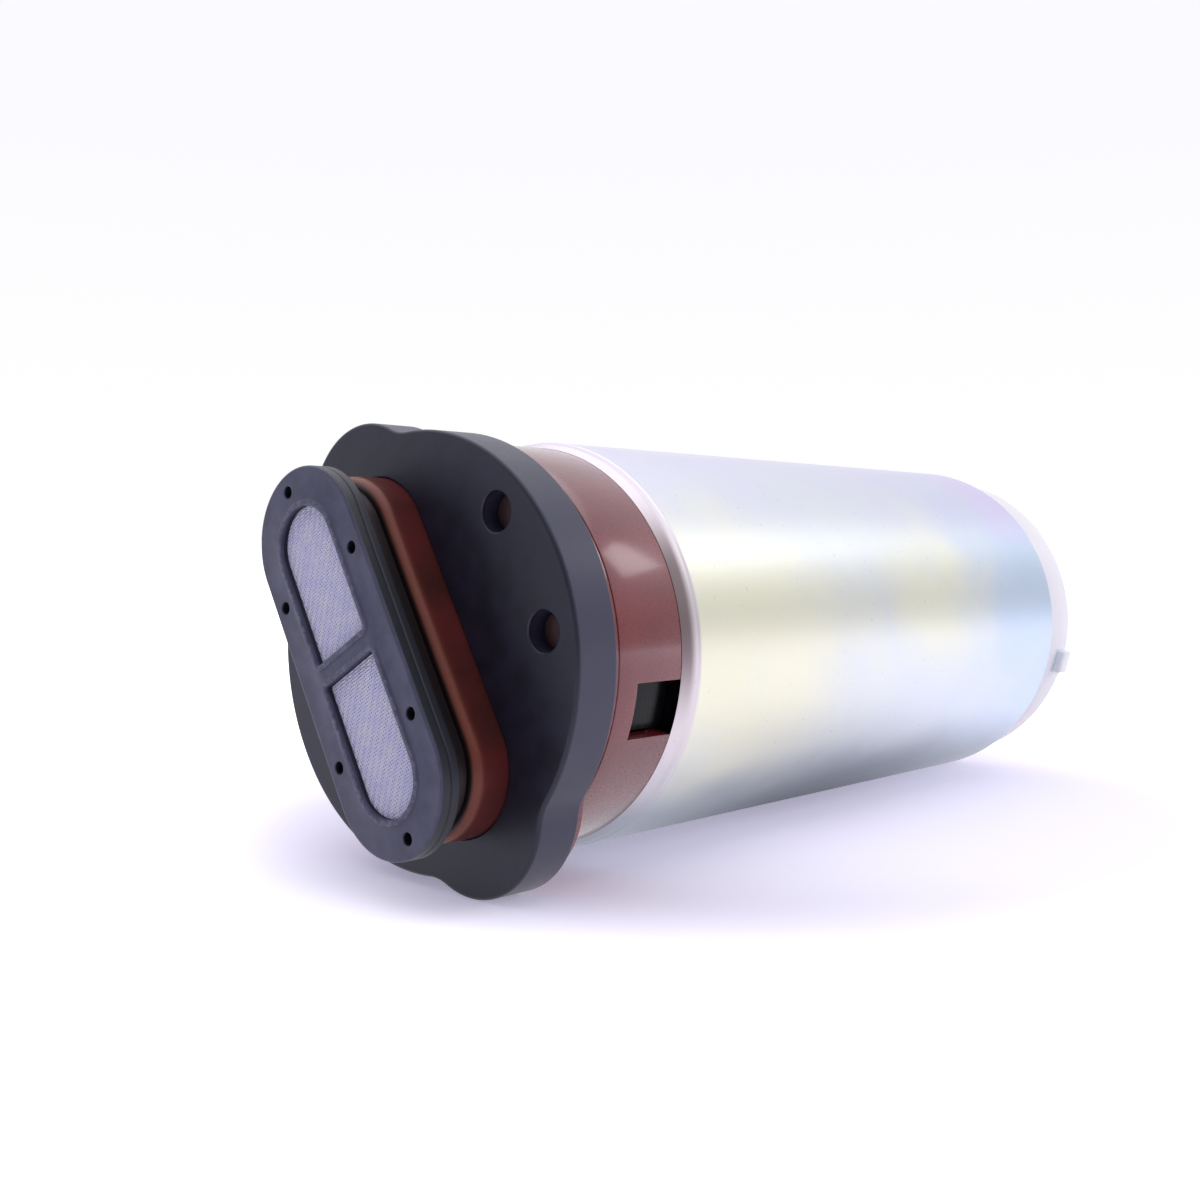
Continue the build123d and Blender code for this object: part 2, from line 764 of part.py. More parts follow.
# Windings: enamelled wire bundles in the slots, joined by the end turns
with BuildPart() as windings:
    for ring_start in (end_turn_front, core_rear + insulator_thickness):
        revolve(
            turned(
                (ring_start, sleeve_radius + coil_clearance),
                (ring_start, end_turn_radius - end_turn_rounding),
                (ring_start + end_turn_rounding, end_turn_radius),
                (ring_start + end_turn_length - end_turn_rounding, end_turn_radius),
                (ring_start + end_turn_length, end_turn_radius - end_turn_rounding),
                (ring_start + end_turn_length, sleeve_radius + coil_clearance),
            ),
            axis=Axis.X,
        )
    with BuildSketch(section(end_turn_front + end_turn_rounding)):
        with PolarLocations(slot_circle, slot_count):
            SlotOverall(slot_length - 2 * coil_clearance, slot_width - 2 * coil_clearance)
    extrude(amount=end_turn_rear - end_turn_front - 2 * end_turn_rounding)
write(windings.part, "windings")

# Commutator: moulded hub with flat carbon segments on its rear face
with BuildPart() as commutator_hub:
    extrude(washer_face(section(hub_front), commutator_radius, shaft_radius), hub_thickness)
write(commutator_hub.part, "commutator_hub")
with BuildPart() as commutator_segments:
    with BuildSketch(section(segment_front, 180 / slot_count)):
        Circle(commutator_radius - segment_rim)
        Circle(segment_bore, mode=Mode.SUBTRACT)
        with PolarLocations(commutator_radius / 2, slot_count):
            Rectangle(commutator_radius, segment_gap, mode=Mode.SUBTRACT)
    extrude(amount=segment_thickness)
write(commutator_segments.part, "commutator_segments")

# Field: flux ring clamped between the outlet plate and the brush carrier, two magnets, two clips
write(bush(outlet_plate_rear, carrier_front - outlet_plate_rear, flux_bore, stack_radius), "flux_ring")
magnet_front = core_front - magnet_overhang
for label, middle in (("magnet_upper", 90), ("magnet_lower", -90)):
    with BuildPart() as magnet:
        magnet_face = arc_band(section(magnet_front), magnet_bore, magnet_radius, middle, magnet_sweep)
        extrude(magnet_face, magnet_length)
    write(magnet.part, label)
clip_sweep = 180 - magnet_sweep - clip_side_gap
clip_leg_sweep = degrees(clip_thickness / magnet_radius)
with BuildPart() as magnet_clips:
    for middle in (0, 180):
        clip_plane = section(magnet_front, middle)
        back_band = arc_band(clip_plane, magnet_radius - clip_thickness, magnet_radius, 0, clip_sweep)
        extrude(back_band, magnet_length)
        for side in (-1, 1):
            leg_middle = side * (clip_sweep - clip_leg_sweep) / 2
            leg = arc_band(clip_plane, magnet_radius - clip_depth, magnet_radius, leg_middle, clip_leg_sweep)
            extrude(leg, magnet_length)
write(magnet_clips.part, "magnet_clips")

# Brush carrier: moulded disc with two brush tubes, flow slots and the rear bearing boss
tube_front = carrier_front - tube_lead
tube_rear = cap_front - slip_gap
tube_opening = (brush_depth + 2 * slip_gap, brush_width + 2 * slip_gap)
tube_outside = (tube_opening[0] + 2 * tube_wall, tube_opening[1] + 2 * tube_wall)
brush_sides = (outlet_angle - 90, outlet_angle + 90)
flow_slot_inner = flow_slot_circle - flow_slot_width / 2
with BuildPart() as brush_carrier:
    extrude(disc_face(section(carrier_front), stack_radius), carrier_thickness)
    extrude(disc_face(section(carrier_front), bush_radius + boss_wall), boss_rear - carrier_front)
    for angle in brush_sides:
        with BuildSketch(section_at(tube_front, brush_circle, angle)) as tube_wall_sketch:
            Rectangle(*tube_outside)
        extrude(tube_wall_sketch.sketch, tube_rear - tube_front)
    for angle in brush_sides:
        with BuildSketch(section_at(tube_front, brush_circle, angle)) as tube_hole_sketch:
            Rectangle(*tube_opening)
        extrude(tube_hole_sketch.sketch, tube_rear - tube_front, mode=Mode.SUBTRACT)
        with BuildSketch(section_at(carrier_rear, brush_circle + brush_depth, angle)) as lead_gap_sketch:
            Rectangle(brush_depth, lead_slot)
        extrude(lead_gap_sketch.sketch, tube_rear - carrier_rear, mode=Mode.SUBTRACT)
    for angle in (outlet_angle, outlet_angle + 180):
        flow_slot = arc_band(
            section(carrier_front),
            flow_slot_inner,
            flow_slot_inner + flow_slot_width,
            angle,
            flow_slot_sweep,
        )
        extrude(flow_slot, carrier_thickness, mode=Mode.SUBTRACT)
    extrude(disc_face(section(carrier_front), shaft_radius + slip_gap), boss_lip, mode=Mode.SUBTRACT)
    extrude(disc_face(section(rear_bush_front), bush_radius), rear_bush_length, mode=Mode.SUBTRACT)
write(brush_carrier.part, "brush_carrier")

# Brushes, their springs and leads, one set on each side
brush_front = segment_rear + brush_gap
brush_rear = brush_front + brush_length
choke_front = carrier_rear
choke_rear = cap_front
coil_front = choke_front + choke_end
lead_x = brush_rear - lead_place


def wire(points, radius):
    """Round wire along a smooth line through a few points."""
    with BuildPart() as run:
        with BuildLine() as line:
            Spline(*points)
        with BuildSketch(Plane(origin=line.line @ 0, z_dir=line.line % 0)):
            Circle(radius)
        sweep(path=line.line)
    return run.part


choke_angles = (180 + choke_offset, -choke_offset)
with BuildPart() as choke_cores:
    choke_rods = holes(section(choke_front), choke_rod_radius, choke_circle, choke_angles)
    extrude(choke_rods, choke_rear - choke_front)
write(choke_cores.part, "choke_cores")
choke_y, choke_z = off_axis(choke_circle, -choke_offset)
coil_length = choke_rear - choke_end - coil_front
coil_pair = [
    coil(coil_front, coil_length, coil_radius, choke_wire, choke_turns, side * choke_y, choke_z)
    for side in (-1, 1)
]
with BuildPart() as choke_coils:
    add(coil_pair)
write(choke_coils.part, "choke_coils")

for label, side in (("left", -1), ("right", 1)):
    with BuildPart() as brush:
        with BuildSketch(section_at(brush_front, side * brush_circle, 0)):
            Rectangle(brush_depth, brush_width)
        extrude(amount=brush_length)
    write(brush.part, f"brush_{label}")
    spring_length = cap_front - brush_rear - 2 * brush_spring_wire
    spring_front = brush_rear + brush_spring_wire
    brush_spring = coil(
        spring_front,
        spring_length,
        brush_spring_radius,
        brush_spring_wire,
        brush_spring_turns,
        side * brush_circle,
        0,
    )
    write(brush_spring, f"brush_spring_{label}")
    brush_face = brush_circle + brush_depth / 2
    coil_top = choke_z + coil_radius + choke_wire + lead_radius
    lead_points = (
        (lead_x, side * (brush_face + stack_gap), 0),
        (lead_x, side * (brush_face + lead_reach), 0),
        (lead_x, side * choke_y, coil_top + lead_reach),
        (lead_x, side * choke_y, coil_top),
    )
    write(wire(lead_points, lead_radius), f"brush_lead_{label}")

# Terminals: brass blades moulded through the cap, each with a lead to its choke
blade_front = cap_front - blade_tail
blade_rear = cap_rear + blade_stand
for label, side in (("left", -1), ("right", 1)):
    with BuildPart() as blade:
        with BuildSketch(section(blade_front)):
            with Locations((side * blade_spacing / 2, -socket_offset)):
                Rectangle(blade_thickness, blade_width)
        extrude(amount=blade_rear - blade_front)
        chamfer(blade.edges().group_by(Axis.X)[-1].filter_by(Axis.Z), blade_thickness / 4)
    write(blade.part, f"terminal_{label}")
lead_pair = []
for side in (-1, 1):
    tail_x = blade_front + blade_tail / 2
    blade_side = side * (blade_spacing + blade_thickness) / 2
    coil_side = side * (choke_y - coil_radius - choke_wire - lead_radius)
    tail_points = (
        (tail_x, blade_side, -socket_offset),
        (tail_x, blade_side + side * lead_reach, -socket_offset),
        (tail_x, coil_side, choke_z),
    )
    lead_pair.append(wire(tail_points, lead_radius))
with BuildPart() as terminal_leads:
    add(lead_pair)
write(terminal_leads.part, "terminal_leads")

# End cap: white moulding held by the rolled rear edge, with outlet nipple and connector socket
cap_seal_x = carrier_rear + cap_seal_place
outlet_y, outlet_z = off_axis(outlet_offset, outlet_angle)
with BuildPart() as end_cap:
    revolve(
        turned(
            (carrier_rear, cap_bore),
            (carrier_rear, stack_radius),
            (can_rear - rear_lip_length, stack_radius),
            (can_rear, can_bore - lip_drop - stack_gap),
            (can_rear, cap_radius),
            (cap_rear, cap_radius),
            (cap_rear, 0),
            (cap_front, 0),
            (cap_front, cap_bore),
        ),
        axis=Axis.X,
    )
    fillet(end_cap.edges().group_by(Axis.X)[-1], cap_edge_radius)
    nub_middle = cap_rear - cap_edge_radius - nub_length / 2
    with BuildSketch(section_at(nub_middle - nub_length / 2, cap_radius, nub_angle)):
        Rectangle(2 * nub_height, nub_width)
    extrude(amount=nub_length)
    extrude(disc_face(section_at(cap_rear, outlet_offset, outlet_angle), nipple_radius), nipple_length)
    chamfer(end_cap.edges().group_by(Axis.X)[-1], nipple_tip)
    for place in groove_places:
        groove_plane = section_at(nipple_end - place - groove_width / 2, outlet_offset, outlet_angle)
        ring_groove = washer_face(groove_plane, 2 * nipple_radius, nipple_radius - groove_depth)
        extrude(ring_groove, groove_width, mode=Mode.SUBTRACT)
    with BuildSketch(section(cap_rear)) as socket_outline:
        with Locations((0, -socket_offset)):
            Rectangle(socket_width, socket_height)
            Rectangle(socket_width - 2 * socket_wall, socket_height - 2 * socket_wall, mode=Mode.SUBTRACT)
    extrude(socket_outline.sketch, socket_depth)
    with BuildSketch(section(cap_front)) as blade_slots:
        with Locations((0, -socket_offset)):
            with GridLocations(blade_spacing, 1, 2, 1):
                Rectangle(blade_thickness, blade_width)
    extrude(blade_slots.sketch, cap_rear - cap_front, mode=Mode.SUBTRACT)
    seat_bore = disc_face(section_at(cap_front, outlet_offset, outlet_angle), seat_radius)
    extrude(seat_bore, seat_length, mode=Mode.SUBTRACT)
    valve_chamber = disc_face(section_at(seat_rear, outlet_offset, outlet_angle), valve_bore)
    extrude(valve_chamber, retainer_rear - seat_rear, mode=Mode.SUBTRACT)
    outlet_bore = disc_face(section_at(retainer_rear, outlet_offset, outlet_angle), nipple_bore)
    extrude(outlet_bore, nipple_end - retainer_rear, mode=Mode.SUBTRACT)
    cap_groove = washer_face(section(cap_seal_x - groove_side), can_radius, groove_radius)
    extrude(cap_groove, 2 * groove_side, mode=Mode.SUBTRACT)
write(end_cap.part, "end_cap")

# Sealing rings in the outlet plate and in the end cap
for label, place in (("plate_seal", seal_place), ("cap_seal", cap_seal_x)):
    with BuildPart() as seal:
        with BuildSketch():
            with Locations((place, seal_circle)):
                Circle(seal_radius)
        revolve(axis=Axis.X)
    write(seal.part, label)

# Plate screws and dowels hold and align the pump section
with BuildPart() as plate_screws:
    screw_shanks = holes(section(screw_front), screw_radius, screw_circle, screw_angles)
    extrude(screw_shanks, screw_head_front - screw_front)
    screw_heads = holes(section(screw_head_front), screw_head_radius, screw_circle, screw_angles)
    extrude(screw_heads, screw_head_height)
    with BuildSketch(section(outlet_plate_rear)) as drive_slots:
        with Locations(*[off_axis(screw_circle, angle) for angle in screw_angles]):
            Rectangle(3 * screw_head_radius, screw_radius / 2)
    extrude(drive_slots.sketch, -screw_head_height / 2, mode=Mode.SUBTRACT)
write(plate_screws.part, "plate_screws")
with BuildPart() as plate_dowels:
    dowel_faces = holes(section(dowel_front), dowel_radius, screw_circle, dowel_angles)
    extrude(dowel_faces, dowel_rear - dowel_front)
write(plate_dowels.part, "plate_dowels")

# Check valve in the outlet: poppet, spring and spoked retainer
def outlet_profile(*points):
    """Half profile of a piece turned about the outlet's own axis."""
    with BuildSketch(Plane(origin=(0, outlet_y, outlet_z))) as profile:
        with BuildLine():
            Polyline(*points, close=True)
        make_face()
    return profile.sketch


outlet_axis = Axis((0, outlet_y, outlet_z), (1, 0, 0))
with BuildPart() as check_poppet:
    nose_radius = seat_radius - valve_gap - poppet_nose
    revolve(
        outlet_profile(
            (seat_rear - poppet_nose, 0),
            (seat_rear - poppet_nose, nose_radius),
            (head_front, poppet_radius),
            (head_rear, poppet_radius),
            (head_rear, poppet_stem),
            (retainer_rear, poppet_stem),
            (retainer_rear, 0),
        ),
        axis=outlet_axis,
    )
write(check_poppet.part, "check_poppet")
check_spring = coil(
    head_rear + check_spring_wire,
    check_spring_length - 2 * check_spring_wire,
    check_spring_radius,
    check_spring_wire,
    check_spring_turns,
    outlet_y,
    outlet_z,
)
write(check_spring, "check_spring")
with BuildPart() as check_retainer:
    with BuildSketch(section_at(retainer_front, outlet_offset, outlet_angle)):
        Circle(valve_bore)
        Circle(valve_bore - retainer_rim, mode=Mode.SUBTRACT)
        Circle(poppet_stem + slip_gap + retainer_hub_wall)
        with PolarLocations(valve_bore / 2, spoke_count):
            Rectangle(valve_bore - retainer_rim, spoke_width)
        Circle(poppet_stem + slip_gap, mode=Mode.SUBTRACT)
    extrude(amount=retainer_thickness)
write(check_retainer.part, "check_retainer")

# Relief valve: pressed seat, ball and spring; the ball lifts towards the inlet
with BuildPart() as relief_seat:
    relief_ring_plane = section_at(relief_seat_front, relief_circle, vent_angle)
    extrude(washer_face(relief_ring_plane, relief_seat_radius, relief_seat_bore), relief_seat_length)
write(relief_seat.part, "relief_seat")
relief_y, relief_z = off_axis(relief_circle, vent_angle)
ball_x = relief_seat_front - sqrt(relief_ball**2 - relief_seat_bore**2) - valve_gap
with BuildPart() as ball:
    with Locations((ball_x, relief_y, relief_z)):
        Sphere(relief_ball)
write(ball.part, "relief_ball")
spring_end = ball_x - sqrt(relief_ball**2 - relief_spring_radius**2) - relief_spring_wire - stack_gap
relief_spring = coil(
    relief_front + relief_spring_wire,
    spring_end - relief_front - relief_spring_wire,
    relief_spring_radius,
    relief_spring_wire,
    relief_spring_turns,
    relief_y,
    relief_z,
)
write(relief_spring, "relief_spring")
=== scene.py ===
import json
import math

import bmesh
import bpy
from mathutils import Matrix, Vector

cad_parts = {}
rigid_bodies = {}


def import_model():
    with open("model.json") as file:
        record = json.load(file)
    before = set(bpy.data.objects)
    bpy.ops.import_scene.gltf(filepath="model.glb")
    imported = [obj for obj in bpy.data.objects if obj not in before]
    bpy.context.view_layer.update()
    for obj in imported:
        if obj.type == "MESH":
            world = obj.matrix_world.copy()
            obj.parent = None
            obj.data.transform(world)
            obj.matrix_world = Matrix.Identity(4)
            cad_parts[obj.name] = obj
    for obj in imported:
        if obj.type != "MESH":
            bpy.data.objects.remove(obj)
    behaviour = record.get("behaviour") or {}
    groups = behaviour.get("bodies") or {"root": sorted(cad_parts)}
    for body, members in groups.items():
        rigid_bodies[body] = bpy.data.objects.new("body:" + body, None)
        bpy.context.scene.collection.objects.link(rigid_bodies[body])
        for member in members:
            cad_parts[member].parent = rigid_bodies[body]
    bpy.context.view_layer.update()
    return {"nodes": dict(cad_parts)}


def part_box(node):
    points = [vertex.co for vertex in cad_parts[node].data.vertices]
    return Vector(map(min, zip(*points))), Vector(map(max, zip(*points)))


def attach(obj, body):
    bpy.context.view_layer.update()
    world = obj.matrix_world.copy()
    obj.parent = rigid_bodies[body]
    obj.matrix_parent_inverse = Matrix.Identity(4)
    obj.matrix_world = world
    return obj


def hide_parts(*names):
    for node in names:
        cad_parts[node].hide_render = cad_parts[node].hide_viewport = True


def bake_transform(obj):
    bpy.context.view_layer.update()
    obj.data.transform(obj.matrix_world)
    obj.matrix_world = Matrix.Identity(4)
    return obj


scene = bpy.context.scene
for leftover in list(bpy.data.objects):
    bpy.data.objects.remove(leftover)
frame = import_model()
solid = frame["nodes"]

# Can: the drawn steel tube that holds the whole pump together. It is zinc plated and passivated,
# which leaves a satin skin with pale yellow, blue and lavender colours, and both ends are rolled
# in over the pieces that it holds.
MM = 0.001


class Signal:
    """A socket in a node tree. Sums written on it add Math nodes to the tree."""

    def __init__(self, tree, socket):
        self.tree, self.socket = tree, socket

    def sum(self, operation, *terms):
        settings = {"operation": operation}
        return self.tree.node("ShaderNodeMath", settings, dict(enumerate(terms)))

    def __add__(self, other):
        return self.sum("ADD", self, other)

    def __sub__(self, other):
        return self.sum("SUBTRACT", self, other)

    def __rsub__(self, other):
        return self.sum("SUBTRACT", other, self)

    def __mul__(self, other):
        return self.sum("MULTIPLY", self, other)

    def __truediv__(self, other):
        return self.sum("DIVIDE", self, other)

    def __pow__(self, other):
        return self.sum("POWER", self, other)

    def __abs__(self):
        return self.sum("ABSOLUTE", self)

    __radd__ = __add__

    def cosine(self):
        return self.sum("COSINE", self)

    def rounded(self):
        return self.sum("ROUND", self)

    def larger(self, other):
        return self.sum("MAXIMUM", self, other)

    def over(self, other):
        return self.sum("GREATER_THAN", self, other)

    def ramp(self, low, high):
        """0 where the signal is at low, 1 where it is at high, and smooth between them."""
        settings = {"interpolation_type": "SMOOTHSTEP"}
        values = {"Value": self, "From Min": low, "From Max": high}
        return self.tree.node("ShaderNodeMapRange", settings, values)

    def spread(self):
        """A noise, most of which lies between 0.3 and 0.7, spread over 0 to 1."""
        return self.ramp(0.3, 0.7)


class Tree:
    """A node tree with one method that adds any node and feeds it."""

    def __init__(self, nodes):
        self.nodes = nodes

    def feed(self, socket, value):
        if isinstance(value, Signal):
            self.nodes.links.new(value.socket, socket)
        else:
            socket.default_value = value

    def node(self, kind, settings=None, values=None, output=0):
        made = self.nodes.nodes.new(kind)
        for name, value in (settings or {}).items():
            setattr(made, name, value)
        for name, value in (values or {}).items():
            self.feed(made.inputs[name], value)
        return Signal(self, made.outputs[output])

    def axes(self, point):
        """The three coordinates of a point or direction."""
        first = self.node("ShaderNodeSeparateXYZ", values={0: point})
        return [Signal(self, output) for output in first.socket.node.outputs]

    def blend(self, mask, colour, other):
        """The first colour where the mask is 0 and the other where it is 1."""
        values = {0: mask, 6: colour, 7: other}
        return self.node("ShaderNodeMix", {"data_type": "RGBA"}, values, output=2)

    def layered(self, colour, *layers):
        """A colour with others laid over it in turn, each with the mask that shows it."""
        for mask, other in layers:
            colour = self.blend(mask, colour, other)
        return colour


class Finish(Tree):
    """A surface finish: a Principled shader, with what varies over the surface fed to it."""

    def __init__(self, name, **levels):
        self.material = bpy.data.materials.new(name)
        self.material.use_nodes = True
        super().__init__(self.material.node_tree)
        self.shader = self.nodes.nodes["Principled BSDF"]
        self.put(**levels)

    def put(self, **levels):
        for name, value in levels.items():
            self.feed(self.shader.inputs[name.replace("_", " ")], value)

    def spot(self):
        """Where a point of the piece is, in metres."""
        return self.node("ShaderNodeTexCoord", output="Object")

    def along(self, axis):
        """How far a point of the piece is along an axis, in millimetres."""
        return self.axes(self.spot())[axis] / MM

    def noise(self, size, detail=3.0, stretch=(1, 1, 1)):
        """A cloudy pattern with spots of that size in millimetres. An axis with a smaller stretch
        has longer spots."""
        settings = {"vector_type": "POINT"}
        place = self.node("ShaderNodeMapping", settings, {"Vector": self.spot(), "Scale": stretch})
        values = {"Vector": place, "Scale": 1 / (size * MM), "Detail": detail}
        return self.node("ShaderNodeTexNoise", values=values)

    def relief(self, height, depth, strength):
        """Small bumps of that depth in millimetres."""
        values = {"Height": height, "Distance": depth * MM, "Strength": strength}
        self.put(Normal=self.node("ShaderNodeBump", values=values))


def tint(red, green, blue):
    """A colour from its 0 to 255 screen values, by the sRGB curve."""
    linear = []
    for level in (red / 255, green / 255, blue / 255):
        linear.append(level / 12.92 if level < 0.04 else ((level + 0.055) / 1.055) ** 2.4)
    return linear + [1]


def around(x, radius, turn):
    """The point at x, with that radius and turn about the X axis, in metres."""
    return x * MM, radius * math.cos(turn) * MM, radius * math.sin(turn) * MM


def eased(corners, steps=5, guard=0.06):
    """A closed line of (x, radius, rounding) corners in millimetres, with the corners rounded and
    a point beyond each end of the rounding, which keeps the shading of the flats apart."""
    line = []
    for i, (x, radius, rounding) in enumerate(corners):
        corner = Vector((x, radius))
        if not rounding:
            line.append(corner)
            continue
        back = (Vector(corners[i - 1][:2]) - corner).normalized()
        ahead = (Vector(corners[(i + 1) % len(corners)][:2]) - corner).normalized()
        half = back.angle(ahead) / 2
        reach = rounding / math.tan(half)
        middle = corner + (back + ahead).normalized() * rounding / math.sin(half)
        turn = math.pi - 2 * half
        first, last = corner + back * reach - middle, corner + ahead * reach - middle
        line.append(corner + back * (reach + guard))
        for k in range(steps + 1):
            share = k / steps
            arm = first * math.sin((1 - share) * turn) + last * math.sin(share * turn)
            line.append(middle + arm / math.sin(turn))
        line.append(corner + ahead * (reach + guard))
    return line


def spin(shape, line, segments=192):
    """Adds a closed line of (x, radius) points, turned about the X axis, to a mesh."""
    turns = [math.tau * k / segments for k in range(segments)]
    rings = [[shape.verts.new(around(x, radius, turn)) for turn in turns] for x, radius in line]
    for near, far in zip(rings, rings[1:] + rings[:1]):
        for k in range(segments):
            after = (k + 1) % segments
            shape.faces.new((near[k], near[after], far[after], far[k]))


def finished_object(name, shape, finish, crease=32):
    """An object from a mesh under construction, with edges above the crease angle left sharp."""
    mesh = bpy.data.meshes.new(name)
    shape.to_mesh(mesh)
    shape.free()
    mesh.shade_smooth()
    mesh.set_sharp_from_angle(angle=math.radians(crease))
    mesh.materials.append(finish.material)
    made = bpy.data.objects.new(name, mesh)
    scene.collection.objects.link(made)
    return made


def piece(name, shape, finish, slot, node, **how):
    """A piece of the pump that stands for a node and stays with the pump's body."""
    bmesh.ops.recalc_face_normals(shape, faces=shape.faces)
    made = finished_object(name, shape, finish, **how)
    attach(made, "root")
    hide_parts(node)


can_radius, can_bore, lip_bore = 21.5, 20.0, 19.4
lip_front, can_front, rear_lip, can_rear = -41.1, -38.7, 36.7, 38.7
rolled_edge = ((0, 0.64, 0.05), (0.9, 0.2, 0.9), (1.85, 0.1, 0.3), (2.1, 0, 0.15))
rear_edge, fine_edge = 0.3, 0.1
can_line = [(lip_front + run, can_radius - drop, rounding) for run, drop, rounding in rolled_edge]
can_line += [
    (can_rear - rear_edge, can_radius, rear_edge),
    (can_rear, can_radius - rear_edge, fine_edge),
    (can_rear, lip_bore, fine_edge),
    (rear_lip, can_bore, 0),
    (can_front, can_bore, 0),
    (lip_front, lip_bore, fine_edge),
]

zinc = Finish("zinc_plating", Metallic=1.0)
along, height = zinc.along(0), zinc.along(2)
cloud = zinc.noise(17, stretch=(0.7, 1, 1)) - 0.5
drift = zinc.noise(9, 2.0, (0.8, 1, 1)) - 0.5
x, z = along + drift * 24, height + drift * 12
front_patch = x.ramp(2, -30) * abs(z + 1).ramp(20, 4)
middle_patch = abs(x - 7).ramp(20, 2) * abs(z - 4).ramp(12, 1)
yellow_cloud = cloud.ramp(0.02, 0.25) * x.ramp(28, 0) * 0.4
yellow_mask = (front_patch.larger(middle_patch * 0.8) + yellow_cloud) * 0.85
blue_mask = x.ramp(4, 36) * (0.7 + cloud * 1.2)
top_mask = (height + cloud * 18).ramp(12, 21) * 0.7
# The rolled lip is tinted pink-lavender: a painted reflection of the brown collar.
rolled_lip_reflection = along.ramp(lip_front + 2.5, lip_front + 1.9) * 0.8
lip_shade = along.ramp(lip_front + 1.8, lip_front + 0.8) * height.ramp(-8, 1) * height.ramp(17, 8)
# The front face of the lip is painted near black: painted shade, where it shows through the collar
# window.
lip_face_shade = along.ramp(lip_front + 0.01, lip_front + 0.001)
rear_patch = x.ramp(20, 34) * z.ramp(9, 16) * 0.6
# The underside of the can is painted darker grey: a painted reflection of the shaded floor below
# it.
underside_shade = (height + cloud * 8).ramp(-11, -18) * 0.9
grain = zinc.noise(0.16, stretch=(0.4, 1, 1))
speck = zinc.noise(0.55, 1.0).ramp(0.73, 0.78)
zinc.put(
    Base_Color=zinc.layered(
        tint(212, 217, 223),
        (blue_mask, tint(190, 207, 228)),
        (yellow_mask, tint(230, 228, 202)),
        (top_mask, tint(208, 205, 226)),
        (rolled_lip_reflection, tint(206, 197, 207)),
        (lip_shade * 0.9, tint(128, 113, 114)),
        (lip_face_shade, tint(30, 29, 34)),
        (rear_patch, tint(213, 200, 232)),
        (underside_shade, tint(158, 164, 174)),
        (speck * 0.25, tint(150, 146, 160)),
    ),
    Roughness=0.41 + (grain - 0.5) * 0.2 + cloud * 0.1,
)
zinc.relief(grain, 0.008, 0.4)

shape = bmesh.new()
spin(shape, eased(can_line), segments=256)
piece("can", shape, zinc, "zinc_steel", "pump_can")

# Inlet housing: one brown glass-filled moulding. Its collar slides into the can, its lobed plate
# backs the flange, and the riser with a smaller neck carries the strainer. A window in the collar
# vents the first pump stage.
LOBE_ANGLE = 60.0


def stadium(length, width):
    """Arcs of a slot shape, long side on the local first axis."""
    middle = (length - width) / 2
    return [(middle, 0, width / 2, -90, 90), (-middle, 0, width / 2, 90, 270)]


def circle(radius, u=0.0, v=0.0):
    """The one arc of a circle about (u, v)."""
    return [(u, v, radius, 0, 360)]


def oblong(width, height, corner, u, v):
    """Arcs of a rectangle with rounded corners about (u, v)."""
    a, b = width / 2 - corner, height / 2 - corner
    return [
        (u + a, v + b, corner, 0, 90),
        (u - a, v + b, corner, 90, 180),
        (u - a, v - b, corner, 180, 270),
        (u + a, v - b, corner, 270, 360),
    ]


def lobed(radius, lobe_radius, offset=15.65, blend=5.0):
    """Arcs of a disc with two lobes, joined by hollow blends."""
    far, near = radius + blend, lobe_radius + blend
    disc_angle = math.acos((far**2 + offset**2 - near**2) / (2 * far * offset))
    u, v = far * math.cos(disc_angle), far * math.sin(disc_angle)
    lobe_turn = math.degrees(math.atan2(v, u - offset))
    turn = math.degrees(disc_angle)
    return [
        (offset, 0, lobe_radius, -lobe_turn, lobe_turn),
        (u, v, blend, 180 + lobe_turn, 180 + turn),
        (0, 0, radius, turn, 180 - turn),
        (-u, v, blend, -turn, -lobe_turn),
        (-offset, 0, lobe_radius, 180 - lobe_turn, 180 + lobe_turn),
        (-u, -v, blend, lobe_turn, turn),
        (0, 0, radius, 180 + turn, 360 - turn),
        (u, -v, blend, 180 - turn, 180 - lobe_turn),
    ]


def loop(arcs, x, inset=0.0, angle=LOBE_ANGLE, step=4.0):
    """Points round a closed line of arcs at x. An arc that runs backwards is hollow."""
    c, s = math.cos(math.radians(angle)), math.sin(math.radians(angle))
    points = []
    for u, v, radius, start, end in arcs:
        size = radius - inset if end > start else radius + inset
        count = max(3, round(abs(end - start) / step))
        for k in range(count if abs(end - start) >= 360 else count + 1):
            turn = math.radians(start + (end - start) * k / count)
            a, b = u + size * math.cos(turn), v + size * math.sin(turn)
            points.append((x * MM, (a * c - b * s) * MM, (a * s + b * c) * MM))
    return points


def wall(arcs, steps, **how):
    """Loops of one outline at each (x, inset) step."""
    return [loop(arcs, x, inset, **how) for x, inset in steps]


def rounded_edge(radius, turns=(90, 72, 54, 36, 18, 0)):
    """(run, inset) pairs round an edge, from the flat face at 90 degrees to the side at 0. A
    negative radius suits a hole."""
    pairs = []
    for turn in turns:
        sine, cosine = math.sin(math.radians(turn)), math.cos(math.radians(turn))
        pairs.append((abs(radius) * (1 - sine), radius * (1 - cosine)))
    return pairs


def rim(front, rear, front_edge, rear_edge, guard=0.05):
    """(x, inset) steps down the side of a plate with rounded edges. A negative edge suits a
    hole, and guard loops beside each edge keep its shading apart from the flat faces."""
    line = [(front, front_edge + math.copysign(guard, front_edge))]
    line += [(front + run, inset) for run, inset in rounded_edge(front_edge)]
    line += [(front + abs(front_edge) + guard, 0), (rear - abs(rear_edge) - guard, 0)]
    line += [(rear - run, inset) for run, inset in reversed(rounded_edge(rear_edge))]
    line.append((rear, rear_edge + math.copysign(guard, rear_edge)))
    return line


